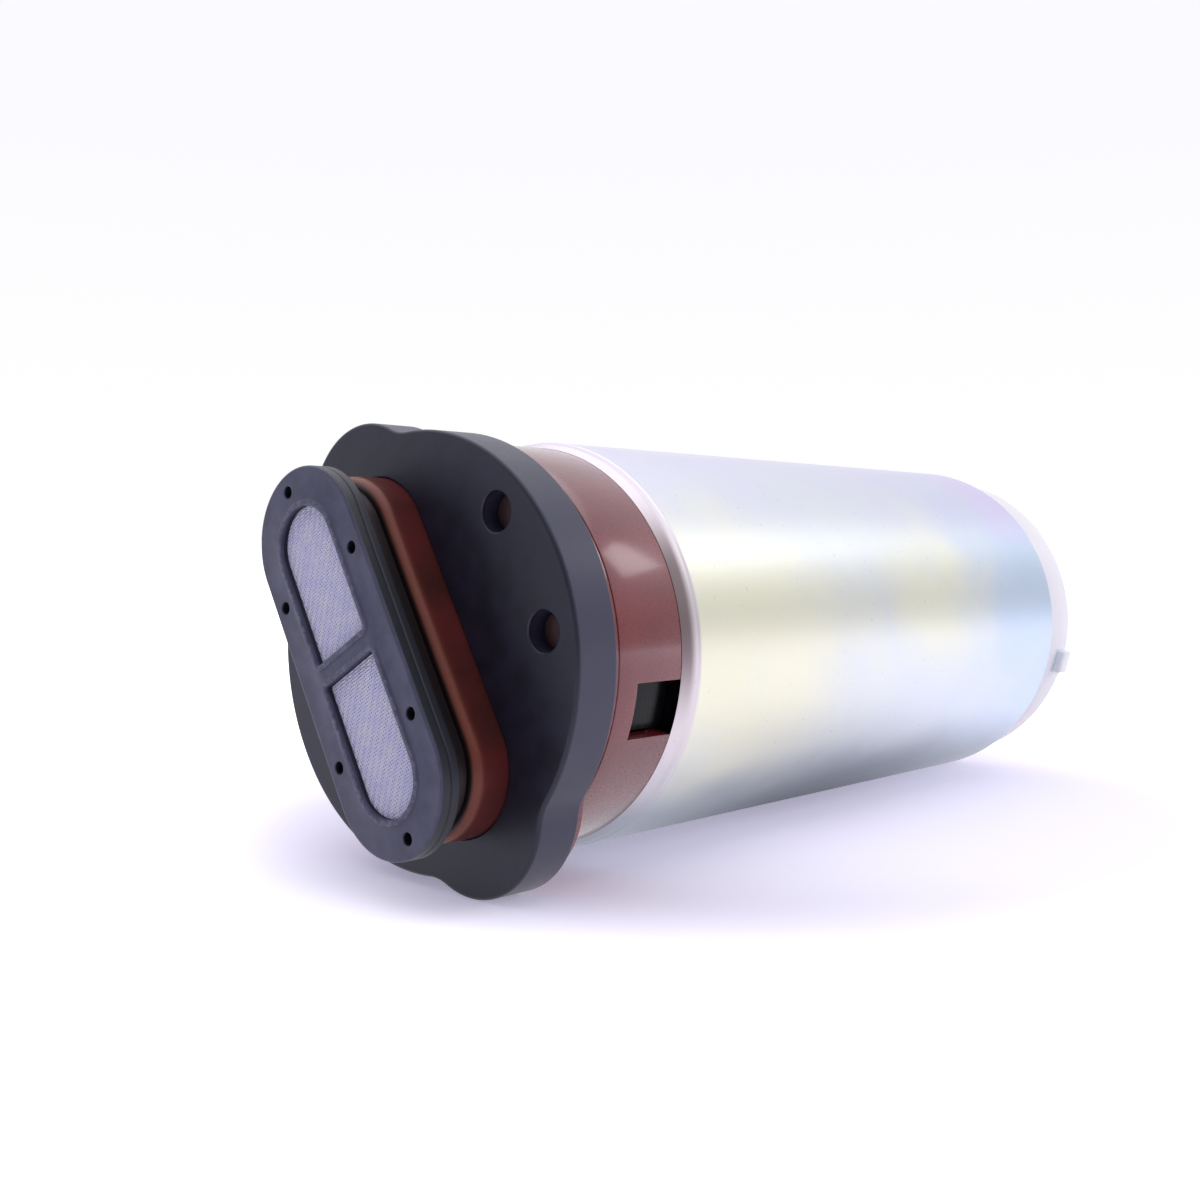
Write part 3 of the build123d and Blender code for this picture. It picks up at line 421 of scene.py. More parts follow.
def walled(shape, walls, lids):
    """Adds walls, each a row of like loops, and flat lids, each between loops in one plane."""
    rings = {}
    for label, loops in walls.items():
        rings[label] = [[shape.verts.new(point) for point in points] for points in loops]
        for near, far in zip(rings[label], rings[label][1:]):
            for k in range(len(near)):
                shape.faces.new((near[k - 1], near[k], far[k], far[k - 1]))
    for lid in lids:
        edges = []
        for label, end in lid:
            ring = rings[label][end]
            edges += [shape.edges.get((ring[k - 1], ring[k])) for k in range(len(ring))]
        bmesh.ops.triangle_fill(shape, use_beauty=True, edges=edges)


neck_front, riser_front, plate_rear = -62.95, -60.7, -49.7
flange_front, flange_rear = -56.5, -51.3
collar_front, collar_radius, collar_bore = plate_rear - 0.3, 20.85, 19.05
brown = Finish("brown_moulding", IOR=1.46, Specular_Tint=(1, 0.8, 0.88, 1), Coat_Roughness=0.12)
along = brown.along(0)
on_collar = along.ramp(flange_rear - 0.7, flange_rear + 1.3)
# The rounded front edge of the riser is painted a lighter orange: a painted highlight.
riser_edge_highlight = along.ramp(riser_front + 1.7, riser_front + 0.5)
# The neck in front of the riser is painted near black: painted shade behind the strainer.
neck_shade = along.ramp(riser_front + 0.4, riser_front + 0.1)
# The peg tops inside the flange holes are painted darker: painted shade.
peg_shade = along.ramp(flange_front + 0.1, flange_front + 1.1) * (1 - on_collar)
flow = brown.noise(5, 4.0, (0.35, 1, 1))
skin = brown.noise(0.25)
# Off the collar the brown is darker and more orange: painted shade on the riser and the pegs.
brown.put(
    Base_Color=brown.layered(
        tint(82, 40, 33),
        (on_collar, tint(108, 38, 41)),
        (flow.spread() * 0.4, tint(140, 54, 54)),
        (riser_edge_highlight, tint(128, 66, 44)),
        (neck_shade, tint(20, 13, 13)),
        (peg_shade, tint(62, 40, 37)),
    ),
    Roughness=0.34 - on_collar * 0.1 + skin * 0.08,
    Coat_Weight=on_collar * 0.7,
)
brown.relief(flow + skin * 0.02, 0.12, 0.5)

riser, passage, floor_opening = stadium(37.8, 14.2), stadium(32.8, 9.2), stadium(27.8, 9.2)
neck_inset, riser_edge, riser_rear = 1.0, 1.2, flange_rear + 0.5
neck_edge = ((0, 0.17), (0, 0.12), (0.04, 0.03), (0.12, 0))
riser_turns = (76, 66, 56, 46, 36, 26, 16, 8, 0)
riser_steps = [(neck_front + run, neck_inset + inset) for run, inset in neck_edge]
riser_steps += [(riser_front - 0.06, neck_inset), (riser_front + 0.015, neck_inset)]
riser_steps += [(riser_front + run, inset) for run, inset in rounded_edge(riser_edge, riser_turns)]
riser_steps += [(riser_front + riser_edge + 0.1, 0), (riser_rear, 0)]
passage_edge = ((0, -0.15), (0.05, -0.05), (0.15, 0))
passage_steps = [(neck_front + run, inset) for run, inset in passage_edge] + [(riser_rear, 0)]
shape = bmesh.new()
walled(
    shape,
    {"side": wall(riser, riser_steps), "passage": wall(passage, passage_steps)},
    [[("side", 0), ("passage", 0)], [("side", -1), ("passage", -1)]],
)

plate, plate_edge = lobed(20.75, 8.3), 0.15
walled(
    shape,
    {
        "side": wall(plate, rim(flange_rear, plate_rear, plate_edge, plate_edge)),
        "opening": wall(floor_opening, [(flange_rear, 0), (plate_rear, 0)]),
    },
    [[("side", 0), ("opening", 0)], [("side", -1), ("opening", -1)]],
)

peg_radius, peg_front, peg_edge, peg_foot_edge = 1.8, -54.7, 0.25, 0.05
pegs = [(u, v) for u in (-6.2, 6.2) for v in (-16.6, 16.6)]
peg_steps = rim(peg_front, collar_front, peg_edge, peg_foot_edge)
for u, v in pegs:
    walled(
        shape,
        {"side": wall(circle(peg_radius, u, v), peg_steps, step=12)},
        [[("side", 0)], [("side", -1)]],
    )
piece("inlet_riser", shape, brown, "brown_plastic", "inlet_housing")

window_angle, window_half, window_front, window_corner = -166.4, 2.75, -47.3, 0.35
columns, window_columns = 216, 10
wall_edge, sharp_angle = 0.14, 0.7


def window_turn(radius, offset):
    """Angle at which a line parallel to the window's middle plane leaves a cylinder."""
    return math.radians(window_angle) + math.asin(offset / radius)


shape = bmesh.new()
rows = [collar_front, window_front - window_corner, window_front, lip_front]
grid = {}
for side, radius in (("out", collar_radius), ("in", collar_bore)):
    low, high = window_turn(radius, -window_half), window_turn(radius, window_half)
    rest, rest_columns = math.tau - (high - low), columns - window_columns
    turns = [low + (high - low) * k / window_columns for k in range(window_columns)]
    turns += [high + rest * k / rest_columns for k in range(rest_columns)]
    for row, x in enumerate(rows):
        for column, turn in enumerate(turns):
            grid[side, row, column] = shape.verts.new(around(x, radius, turn))


def cell(row, column):
    """Whether the collar has wall between this row and column and the next ones."""
    window = row == len(rows) - 2 and column % columns < window_columns
    return 0 <= row < len(rows) - 1 and not window


for row in range(len(rows) - 1):
    for column in range(columns):
        if not cell(row, column):
            continue
        after = (column + 1) % columns
        for side in ("out", "in"):
            corners = [(row, column), (row, after), (row + 1, after), (row + 1, column)]
            shape.faces.new([grid[side, r, c] for r, c in corners])
        borders = (
            ((row, column), (row, after), cell(row - 1, column)),
            ((row + 1, column), (row + 1, after), cell(row + 1, column)),
            ((row, column), (row + 1, column), cell(row, column - 1)),
            ((row, after), (row + 1, after), cell(row, column + 1)),
        )
        for start, end, joined in borders:
            if not joined:
                outer = [grid["out", *start], grid["out", *end]]
                shape.faces.new(outer + [grid["in", *end], grid["in", *start]])
bmesh.ops.recalc_face_normals(shape, faces=shape.faces)
creases = [edge for edge in shape.edges if edge.calc_face_angle(0) > sharp_angle]
bmesh.ops.bevel(
    shape, geom=creases, offset=wall_edge * MM, segments=3, profile=0.6, affect="EDGES"
)
piece("inlet_collar", shape, brown, "brown_plastic", "inlet_housing")

shoulder_front, shoulder_radius, shoulder_bore = -42.3, 18.9, 17.25
shoulder_line = [
    (shoulder_front, shoulder_radius, 0.15),
    (lip_front, shoulder_radius, 0),
    (lip_front, shoulder_bore, 0),
    (shoulder_front, shoulder_bore, 0.1),
]
shape = bmesh.new()
spin(shape, eased(shoulder_line))
piece("inlet_shoulder", shape, brown, "brown_plastic", "inlet_housing")

# Duct: a black sleeve inside the collar that leads the fuel to the pump section. Its raised pad
# snaps into the collar window, where it shows as a dark curved face just below the wall.
jet = Finish("duct_moulding", IOR=1.32)
sheen = jet.noise(2)
jet.put(
    Base_Color=jet.blend(sheen, tint(5, 5, 8), tint(10, 10, 14)),
    Roughness=0.2 + sheen * 0.15,
)
jet.relief(sheen, 0.01, 0.3)

duct_outer, duct_bore, duct_front, duct_rear, duct_edge = 15.5, 14.0, -49.1, -37.1, 0.1
duct_corners = [(duct_front, duct_outer), (duct_rear, duct_outer)]
duct_corners += [(duct_rear, duct_bore), (duct_front, duct_bore)]
shape = bmesh.new()
spin(shape, eased([(x, radius, duct_edge) for x, radius in duct_corners]))

pad_radius, pad_half_width, pad_front, pad_rear = 19.35, 2.65, -47.2, -41.2
pad_foot, pad_columns = duct_outer - 0.5, 6
pad_half = math.degrees(pad_half_width / collar_radius)
pad_turns = [
    math.radians(window_angle + pad_half * k / pad_columns)
    for k in range(-pad_columns, pad_columns + 1)
]
pad_edge = ((0, 0.12), (0.04, 0.03), (0.12, 0))
pad_steps = [(pad_front + run, pad_radius - drop) for run, drop in pad_edge]
pad_rings = []
for x, radius in pad_steps + [(pad_rear, pad_radius)]:
    ring = [around(x, radius, turn) for turn in pad_turns]
    ring += [around(x, pad_foot, turn) for turn in (pad_turns[-1], pad_turns[0])]
    pad_rings.append(ring)
walled(shape, {"pad": pad_rings}, [[("pad", 0)], [("pad", -1)]])
piece("duct", shape, jet, "dark_plastic", "inlet_duct")

# Flange: a black lobed ring, moulded separately and pushed over the riser and the four pegs of
# the housing. It takes the rubber seat of the pump in the tank module.
black = Finish("black_moulding", IOR=1.5, Specular_Tint=(0.86, 0.87, 1, 1))
mottle = black.noise(3)
pores = black.noise(0.22)
# Behind its front face the flange is painted a lighter blue-grey: painted light on its side.
flange_side_light = black.along(0).ramp(flange_front + 0.05, flange_front + 0.5)
black.put(
    Base_Color=black.layered(
        tint(20, 21, 32),
        (mottle.spread(), tint(31, 32, 48)),
        (flange_side_light, tint(52, 53, 71)),
    ),
    Roughness=0.34 + pores * 0.18 + (mottle - 0.5) * 0.1,
)
black.relief(pores, 0.012, 0.4)

hole_radius = 1.9
outline, opening = lobed(21.8, 9.3), stadium(37.9, 14.3)
walls = {
    "rim": wall(outline, rim(flange_front, flange_rear, 0.38, 0.3), step=2.5),
    "opening": wall(opening, rim(flange_front, flange_rear, -0.12, -0.05)),
}
hole_steps = rim(flange_front, flange_rear, -0.18, -0.05)
for k, (u, v) in enumerate(pegs):
    walls[f"hole_{k}"] = wall(circle(hole_radius, u, v), hole_steps, step=7.5)
shape = bmesh.new()
walled(shape, walls, [[(label, 0) for label in walls], [(label, -1) for label in walls]])
piece("flange", shape, black, "black_plastic", "base_flange")

# Strainer plates: a slate-coloured front plate with two beaded windows, welded through the cloth
# to a back frame that plugs into the neck of the housing.
cover_front, frame_front, cover_gap = -65.1, -64.0, 0.02
cover_rear, cloth_front, cloth_pocket = frame_front - cover_gap, cover_front + 0.6, 1.0
bead, bead_front, cross_half = 0.65, cover_front - 0.2, 1.15
window_half_width, window_end = 4.0, 15.9
cover = stadium(39.6, 15.2)

slate = Finish("slate_moulding", IOR=1.5, Specular_Tint=(0.88, 0.88, 1, 1))
haze = slate.noise(2.4)
tooth = slate.noise(0.18)
along = slate.along(0)
# Behind the front face of the plate everything of this finish is painted darker: painted shade on
# the plate's sides and window walls.
plate_side_shade = along.ramp(cover_front + 0.05, cover_front + 0.3)
# The crest of the window beads is lightened in noisy specks: a painted highlight.
bead_top = along.ramp(bead_front + 0.12, bead_front + 0.02)
bead_highlight = bead_top * slate.noise(0.5).ramp(0.4, 0.7) * 0.7
slate.put(
    Base_Color=slate.layered(
        tint(69, 70, 89),
        (haze.spread(), tint(83, 84, 105)),
        (plate_side_shade, tint(27, 28, 36)),
        (bead_highlight, tint(116, 116, 134)),
    ),
    Roughness=0.36 + tooth * 0.2,
)
slate.relief(tooth, 0.01, 0.35)


def half_window(side, corner=0.3):
    """Arcs of one strainer window: a half slot, cut square at the crossbar."""
    middle, near = window_end - window_half_width, cross_half + corner
    arcs = [
        (middle, 0, window_half_width, -90, 90),
        (near, window_half_width - corner, corner, 90, 180),
        (near, corner - window_half_width, corner, 180, 270),
    ]
    if side > 0:
        return arcs
    return [(-u, -v, radius, start + 180, end + 180) for u, v, radius, start, end in arcs]


bead_outside = ((0, -0.1), (-0.03, -0.02), (-0.12, 0.03))
bead_steps = [(cover_front + run, inset - bead) for run, inset in bead_outside]
bead_steps += [(bead_front + 0.02, 0.1 - bead), (bead_front, 0.2 - bead), (bead_front, -0.2)]
bead_steps += [(bead_front + 0.02, -0.1), (bead_front + 0.08, -0.03), (cover_front, 0)]
bead_steps += [(cloth_front, 0), (cloth_front, -cloth_pocket), (cover_rear, -cloth_pocket)]
walls = {"rim": wall(cover, rim(cover_front, cover_rear, 0.28, 0.06))}
for label, side in (("upper", 1), ("lower", -1)):
    walls[label] = wall(half_window(side), bead_steps, step=5)
rivet_radius = 0.62
rivet_steps = rim(cover_front, cover_rear, -0.08, -0.02)
rivets = [(18.05, 0), (-18.05, 0)] + [(u, v) for u in (-8.5, 8.5) for v in (-6.0, 6.0)]
for k, (u, v) in enumerate(rivets):
    walls[f"rivet_{k}"] = wall(circle(rivet_radius, u, v), rivet_steps, step=15)
shape = bmesh.new()
walled(shape, walls, [[(label, 0) for label in walls], [(label, -1) for label in walls]])
piece("strainer_plate", shape, slate, "black_plastic", "strainer_cover")

rib_front, skirt_rear = frame_front - 0.35, neck_front + 1.5
rib, skirt, frame_hole = stadium(33.6, 9.8), stadium(32.6, 9.0), stadium(31.0, 7.4)
walls = {
    "rib": wall(rib, [(rib_front, 0.1), (rib_front + 0.05, 0.02), (frame_front, 0)]),
    "frame": wall(cover, rim(frame_front, neck_front, 0.3, 0.12)),
    "skirt": wall(skirt, [(neck_front, 0), (skirt_rear - 0.1, 0), (skirt_rear, 0.1)]),
    "hole": wall(frame_hole, [(rib_front, 0), (skirt_rear, 0)]),
}
shape = bmesh.new()
walled(
    shape,
    walls,
    [
        [("rib", 0), ("hole", 0)],
        [("rib", -1), ("frame", 0)],
        [("frame", -1), ("skirt", 0)],
        [("skirt", -1), ("hole", -1)],
    ],
)
piece("strainer_back", shape, slate, "black_plastic", "strainer_frame")

# Strainer cloth: fine white nylon in a twill weave, each thread passing over two and under two.
# It lies in the pocket behind the front plate and is clamped round its edge.
nylon = Finish("nylon_cloth", IOR=1.53)
shade = nylon.noise(1.5, 2.0)
fibre = nylon.noise(0.1, 2.0)
nylon.put(
    Base_Color=nylon.blend(shade.spread(), tint(234, 234, 255), tint(246, 245, 255)),
    Roughness=0.42 + fibre * 0.2,
)
nylon.relief(fibre, 0.01, 0.3)

weave = Tree(bpy.data.node_groups.new("twill", "GeometryNodeTree"))
face = weave.nodes.interface
sizes = {
    "Pitch": 0.28 * MM,
    "Wave": 0.045 * MM,
    "Thread": 0.096 * MM,
    "Half length": 16.8 * MM,
    "Half width": 4.9 * MM,
}
sockets = {
    name: face.new_socket(name=name, in_out="INPUT", socket_type="NodeSocketFloat")
    for name in sizes
}
face.new_socket(name="Cloth", in_out="OUTPUT", socket_type="NodeSocketGeometry")
given = {name: weave.node("NodeGroupInput", output=name) for name in sizes}
pitch, half_length, half_width = given["Pitch"], given["Half length"], given["Half width"]
u, v, _ = weave.axes(weave.node("GeometryNodeInputPosition"))
phase = ((u - v) / pitch) * (math.pi / 2) - math.pi / 4
lift = phase.cosine() * given["Wave"]
beyond = (abs(u) - (half_length - half_width)).larger(0)
outside = ((beyond * beyond + v * v) ** 0.5).over(half_width)
bundles = []
for run, across, direction in ((half_length, half_width, 1), (half_width, half_length, -1)):
    steps = ((run / pitch) + 0.5).rounded()
    count = ((across / pitch) + 0.5).rounded()
    ahead, aside = (0, 1) if direction > 0 else (1, 0)
    origin, end, start, spacing = [
        weave.node("ShaderNodeCombineXYZ", values={axis: length})
        for axis, length in (
            (ahead, steps * pitch * -1),
            (ahead, steps * pitch),
            (aside, count * pitch * -1),
            (aside, pitch),
        )
    ]
    line = weave.node("GeometryNodeCurvePrimitiveLine", values={"Start": origin, "End": end})
    points = {"Curve": line, "Count": steps * 2 + 1}
    line = weave.node("GeometryNodeResampleCurve", values=points)
    places = {"Count": count * 2 + 1, "Start Location": start, "Offset": spacing}
    dots = weave.node("GeometryNodeMeshLine", values=places)
    copies = {"Points": dots, "Instance": line}
    threads = weave.node("GeometryNodeInstanceOnPoints", values=copies)
    threads = weave.node("GeometryNodeRealizeInstances", values={"Geometry": threads})
    trimmed = {"Geometry": threads, "Selection": outside}
    threads = weave.node("GeometryNodeDeleteGeometry", {"domain": "POINT"}, trimmed)
    offset = weave.node("ShaderNodeCombineXYZ", values={2: lift * direction})
    waved = {"Geometry": threads, "Offset": offset}
    bundles.append(weave.node("GeometryNodeSetPosition", values=waved))
join = weave.nodes.nodes.new("GeometryNodeJoinGeometry")
for bundle in bundles:
    weave.nodes.links.new(bundle.socket, join.inputs[0])
section = {"Resolution": 4, "Radius": given["Thread"]}
profile = weave.node("GeometryNodeCurvePrimitiveCircle", values=section)
joined = Signal(weave, join.outputs[0])
swept = {"Curve": joined, "Profile Curve": profile, "Fill Caps": True}
cloth = weave.node("GeometryNodeCurveToMesh", values=swept)
cloth = weave.node("GeometryNodeRealizeInstances", values={"Geometry": cloth})
coloured = {"Geometry": cloth, "Material": nylon.material}
cloth = weave.node("GeometryNodeSetMaterial", values=coloured)
weave.nodes.links.new(cloth.socket, weave.nodes.nodes.new("NodeGroupOutput").inputs["Cloth"])

carrier = bpy.data.objects.new("cloth_pattern", bpy.data.meshes.new("cloth_pattern"))
scene.collection.objects.link(carrier)
modifier = carrier.modifiers.new("twill", "NODES")
modifier.node_group = weave.nodes
for name, value in sizes.items():
    modifier[sockets[name].identifier] = value
woven = carrier.evaluated_get(bpy.context.evaluated_depsgraph_get())
mesh = bpy.data.meshes.new_from_object(woven)
bpy.data.objects.remove(carrier)
turn = math.radians(LOBE_ANGLE)
cloth_middle = cloth_front + 0.13
mesh.transform(Matrix((
    (0, 0, -1, cloth_middle * MM),
    (math.cos(turn), -math.sin(turn), 0, 0),
    (math.sin(turn), math.cos(turn), 0, 0),
    (0, 0, 0, 1),
)))
shape = bmesh.new()
shape.from_mesh(mesh)
piece("strainer_cloth", shape, nylon, "mesh_cloth", "strainer_mesh", crease=80)

# End cap: a white moulding that the rolled edge of the can holds. It carries the hose nipple with
# two grooves, the socket of the supply plug, a small locating nub and the seat of the check valve.
white = Finish("white_moulding", IOR=1.5, Subsurface_Weight=0.3, Subsurface_Scale=0.003)
cloudy = white.noise(6)
matt = white.noise(0.25)
white.put(
    Base_Color=white.blend(cloudy.spread(), tint(250, 249, 251), tint(253, 252, 253)),
    Roughness=0.34 + matt * 0.16,
)
white.relief(matt, 0.01, 0.3)

cap_radius, cap_rear, cap_front, cap_start = 20.4, 46.4, 36.8, 29.1
cap_edge, lip_inset, skirt_inset, hollow_inset = 0.5, 1.05, 0.45, 2.85
corner = rounded_edge(cap_edge, (90, 75, 60, 45, 30, 15, 0))
skirt_steps = [(cap_rear, cap_edge + 0.06)] + [(cap_rear - run, inset) for run, inset in corner]
skirt_steps += [(cap_rear - cap_edge - 0.06, 0), (can_rear + 0.2, 0), (can_rear + 0.02, 0.1)]
skirt_steps += [(can_rear, lip_inset), (rear_lip, skirt_inset), (cap_start, skirt_inset)]
skirt_steps += [(cap_start, hollow_inset), (cap_front, hollow_inset)]

tip, nipple_radius, outlet = 66.4, 4.2, (0.0, 9.0)
chamber_rear, chamber_front = 49.2, 39.4
bore_wall, chamber_wall, seat_wall = 1.1, 1.4, 2.5
groove_side = ((0.86, 0), (0.8, 0.06), (0.76, 0.34), (0.66, 0.4))
nipple_steps = [(cap_rear, -0.35), (cap_rear + 0.1, -0.1), (cap_rear + 0.35, 0)]
for groove in (tip - 9.0, tip - 5.0):
    nipple_steps += [(groove - half, depth) for half, depth in groove_side]
    nipple_steps += [(groove + half, depth) for half, depth in reversed(groove_side)]
nipple_tip = ((0.7, 0), (0.6, 0.03), (0.12, 0.5), (0, 0.66), (0, 0.92), (0.12, 1.06))
nipple_steps += [(tip - run, inset) for run, inset in nipple_tip]
nipple_steps += [(tip - 0.25, bore_wall), (chamber_rear, bore_wall)]
nipple_steps += [(chamber_rear, chamber_wall), (chamber_front, chamber_wall)]
nipple_steps += [(chamber_front, seat_wall), (cap_front, seat_wall)]

socket_place, socket_rear, socket_wall = -9.0, cap_rear + 10.0, 1.2
plug = oblong(15.4, 8.0, 1.3, 0, socket_place)
socket_steps = [(cap_rear, -0.3), (cap_rear + 0.08, -0.08), (cap_rear + 0.3, 0)]
socket_edge = ((0.3, 0), (0.25, 0), (0.08, 0.08), (0, 0.25), (0, 0.95), (0.08, 1.12))
socket_steps += [(socket_rear - run, inset) for run, inset in socket_edge]
socket_steps += [(socket_rear - 0.25, socket_wall), (cap_rear, socket_wall)]
walls = {
    "skirt": wall(circle(cap_radius), skirt_steps, angle=0, step=2),
    "nipple": wall(circle(nipple_radius, *outlet), nipple_steps, angle=0, step=4.5),
    "socket": wall(plug, socket_steps, angle=0, step=11.25),
}
blade_offset = 4.7
for label, side in (("left", -1), ("right", 1)):
    slit = oblong(0.8, 4.0, 0.05, blade_offset * side, socket_place)
    walls[label] = wall(slit, [(cap_rear, 0), (cap_front, 0)], angle=0, step=30)
shape = bmesh.new()
walled(
    shape,
    walls,
    [
        [("skirt", 0), ("nipple", 0), ("socket", 0)],
        [("socket", -1), ("left", 0), ("right", 0)],
        [("skirt", -1), ("nipple", -1), ("left", -1), ("right", -1)],
    ],
)

nub_turn, nub_front, nub_rear = -165.0, 43.3, 45.9
nub = oblong(2.0, 3.2, 0.35, cap_radius, 0)
nub_edge = ((0, 0.3), (0.04, 0.18), (0.15, 0.06), (0.35, 0))
nub_steps = [(nub_front + run, inset) for run, inset in nub_edge]
nub_steps += [(nub_rear - run, inset) for run, inset in reversed(nub_edge)]
nub_wall = wall(nub, nub_steps, angle=nub_turn, step=15)
walled(shape, {"nub": nub_wall}, [[("nub", 0)], [("nub", -1)]])
piece("outlet_cap", shape, white, "white_plastic", "end_cap")

# Pump section: a gerotor pair of sintered steel runs in a ring between two die-cast plates. The
# screws, dowels, magnet clips and the shaft are plain ground steel.


def plain(name, dull, bright, roughness, grain_size, depth, stretch=(1, 1, 1), **levels):
    """A finish with patches of two tints and a fine grain, sizes in millimetres."""
    finish = Finish(name, **levels)
    patch = finish.noise(grain_size * 12)
    fine = finish.noise(grain_size, stretch=stretch)
    finish.put(
        Base_Color=finish.blend(patch.spread(), tint(*dull), tint(*bright)),
        Roughness=roughness + (fine - 0.5) * 0.2,
    )
    finish.relief(fine, depth, 0.35)
    return finish


def metal(*look):
    """A bare metal with a faint grain."""
    return plain(*look, Metallic=1.0)


def moulded(*look):
    """A plastic, ceramic or rubber with a faint mottle."""
    return plain(*look, IOR=1.5)


def coat(finish, *names):
    """Gives solids of the frame a finish."""
    for name in names:
        for slot in solid[name].material_slots:
            slot.material = finish.material


brushed = (0.2, 1, 1)
alloy = metal("cast_aluminium", (168, 169, 172), (186, 187, 190), 0.42, 0.4, 0.02)
sinter = metal("sintered_steel", (118, 117, 116), (136, 134, 132), 0.46, 0.2, 0.012)
ground = metal("ground_steel", (180, 181, 184), (198, 199, 202), 0.26, 0.15, 0.004, brushed)
coat(alloy, "inlet_plate", "outlet_plate")
coat(sinter, "rotor_ring", "inner_rotor", "outer_rotor")
coat(ground, "motor_shaft", "plate_screws", "plate_dowels")
coat(ground, "relief_ball", "magnet_clips", "thrust_pad")

# Armature: a stack of thin electrical steel sheets with enamelled copper windings in white slot
# liners, and a flat commutator of carbon segments on a dark hub.
sheets = Finish("steel_sheets", Metallic=1.0)
sheet_pitch, wire_pitch = 0.5, 0.5
layers = (sheets.along(0) * (math.tau / sheet_pitch)).cosine() * 0.5 + 0.5
blueing = sheets.noise(4)
sheets.put(
    Base_Color=sheets.blend(blueing.spread(), tint(92, 94, 104), tint(122, 122, 128)),
    Roughness=0.38 + layers * 0.2,
)
sheets.relief(layers, 0.03, 0.6)

enamel = Finish("enamelled_copper", Metallic=0.85)
across_wires = enamel.along(1) + enamel.along(2)
strands = (across_wires * (math.tau / wire_pitch)).cosine() * 0.5 + 0.5
glow = enamel.noise(2)
enamel.put(
    Base_Color=enamel.blend(glow.spread(), tint(150, 76, 42), tint(184, 104, 60)),
    Roughness=0.3 + strands * 0.15,
)
enamel.relief(strands, 0.08, 0.7)

drawn = (1, 0.3, 0.3)
copper = metal("bare_copper", (186, 112, 82), (206, 134, 100), 0.28, 0.2, 0.006, drawn)
liner = moulded("slot_liner", (214, 210, 196), (226, 222, 210), 0.5, 0.3, 0.01)
hub = moulded("dark_resin", (52, 44, 40), (64, 54, 48), 0.45, 0.3, 0.01)
coat(sheets, "core_stack")
coat(enamel, "windings")
coat(copper, "terminal_leads", "choke_coils")
coat(liner, "slot_insulators")
coat(hub, "commutator_hub")

# Field and bearings: two ferrite magnets inside a steel flux ring, held apart by spring clips, and
# oil-filled bronze bushes for the shaft.
ferrite = moulded("ferrite_magnet", (58, 58, 60), (74, 74, 77), 0.55, 0.3, 0.02)
bronze = metal("oiled_bronze", (150, 112, 70), (170, 130, 84), 0.4, 0.12, 0.01)
rolled = metal("rolled_steel", (134, 136, 140), (154, 156, 160), 0.36, 0.3, 0.008, (0.3, 1, 1))
coat(ferrite, "magnet_upper", "magnet_lower", "choke_cores")
coat(bronze, "front_bush", "middle_bush", "rear_bush", "thrust_washer")
coat(rolled, "flux_ring")

# Brush gear and terminals: two carbon brushes slide in a black carrier, and brass blades in the
# socket of the end cap take the supply plug.
carbon = moulded("brush_carbon", (44, 43, 43), (62, 60, 59), 0.5, 0.12, 0.012)
brass = metal("brass_blade", (196, 168, 104), (214, 188, 124), 0.26, 0.2, 0.004, brushed)
coat(carbon, "brush_left", "brush_right", "commutator_segments")
coat(black, "brush_carrier")
coat(brass, "terminal_left", "terminal_right")

# Valves and seals: a dark moulded poppet with a spring behind a brass retainer closes the outlet,
# a steel ball on a brass seat relieves the pump, and two rubber rings seal the plates and the cap.
rubber = moulded("black_rubber", (30, 30, 32), (42, 42, 44), 0.6, 0.3, 0.015)
coat(rubber, "plate_seal", "cap_seal")
coat(slate, "check_poppet")
coat(brass, "check_retainer", "relief_seat")

# Springs and brush leads: four coils of ground steel wire, each held by the pump at one end and
# met by the brush, poppet or ball at its other end, and two copper leads to the brushes. Each is
# copied from its node as one merged mesh that takes the node's place.


def wire_piece(node, finish):
    """A wire copied from its node as one merged, smooth-shaded mesh that takes the node's place."""
    shape = bmesh.new()
    shape.from_mesh(solid[node].data)
    shape.transform(solid[node].matrix_world)
    bmesh.ops.remove_doubles(shape, verts=shape.verts, dist=0.001 * MM)
    made = finished_object(f"{node}_wire", shape, finish)
    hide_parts(node)
    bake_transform(made)


for node, body, held_at_rear in (
    ("brush_spring_left", "brush_left", True),
    ("brush_spring_right", "brush_right", True),
    ("check_spring", "check_valve", True),
    ("relief_spring", "relief_valve", False),
):
    front, rear = (corner[0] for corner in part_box(node))
    held, moved = (rear, front) if held_at_rear else (front, rear)
    wire_piece(node, ground)
for side, sign in (("left", -1), ("right", 1)):
    inner, outer = sorted(abs(corner[1]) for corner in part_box(f"brush_lead_{side}"))
    held, moved = (0, sign * outer, 0), (0, sign * inner, 0)
    wire_piece(f"brush_lead_{side}", copper)

# Studio: a white floor that carries the pump on its flange lobe and on the rear edge of the can,
# soft lamps above it, and the camera at the viewpoint of the picture.
contact_front, contact_rise, floor_slope, floor_reach = -51.3, -22.85, 0.01534, 6000
floor_corners = []
for ahead, aside in ((-1, -1), (1, -1), (1, 1), (-1, 1)):
    x, y = ahead * floor_reach, aside * floor_reach
    floor_rise = contact_rise + floor_slope * (x - contact_front)
    floor_corners.append((x * MM, y * MM, floor_rise * MM))
floor_mesh = bpy.data.meshes.new("studio_floor")
floor_mesh.from_pydata(floor_corners, [], [(0, 1, 2, 3)])
floor_colour = tint(238, 236, 242)
paper = Finish("studio_floor", Roughness=0.9, Specular_IOR_Level=0.0, Base_Color=floor_colour)


def rays(tree):
    """Two masks of the rays that show a backdrop: 1 for rays from the camera, and 1 for rays by
    a mirror or through glass."""
    seen, glossy, passing = [
        tree.node("ShaderNodeLightPath", output=f"Is {kind} Ray")
        for kind in ("Camera", "Glossy", "Transmission")
    ]
    return seen, glossy.larger(passing)


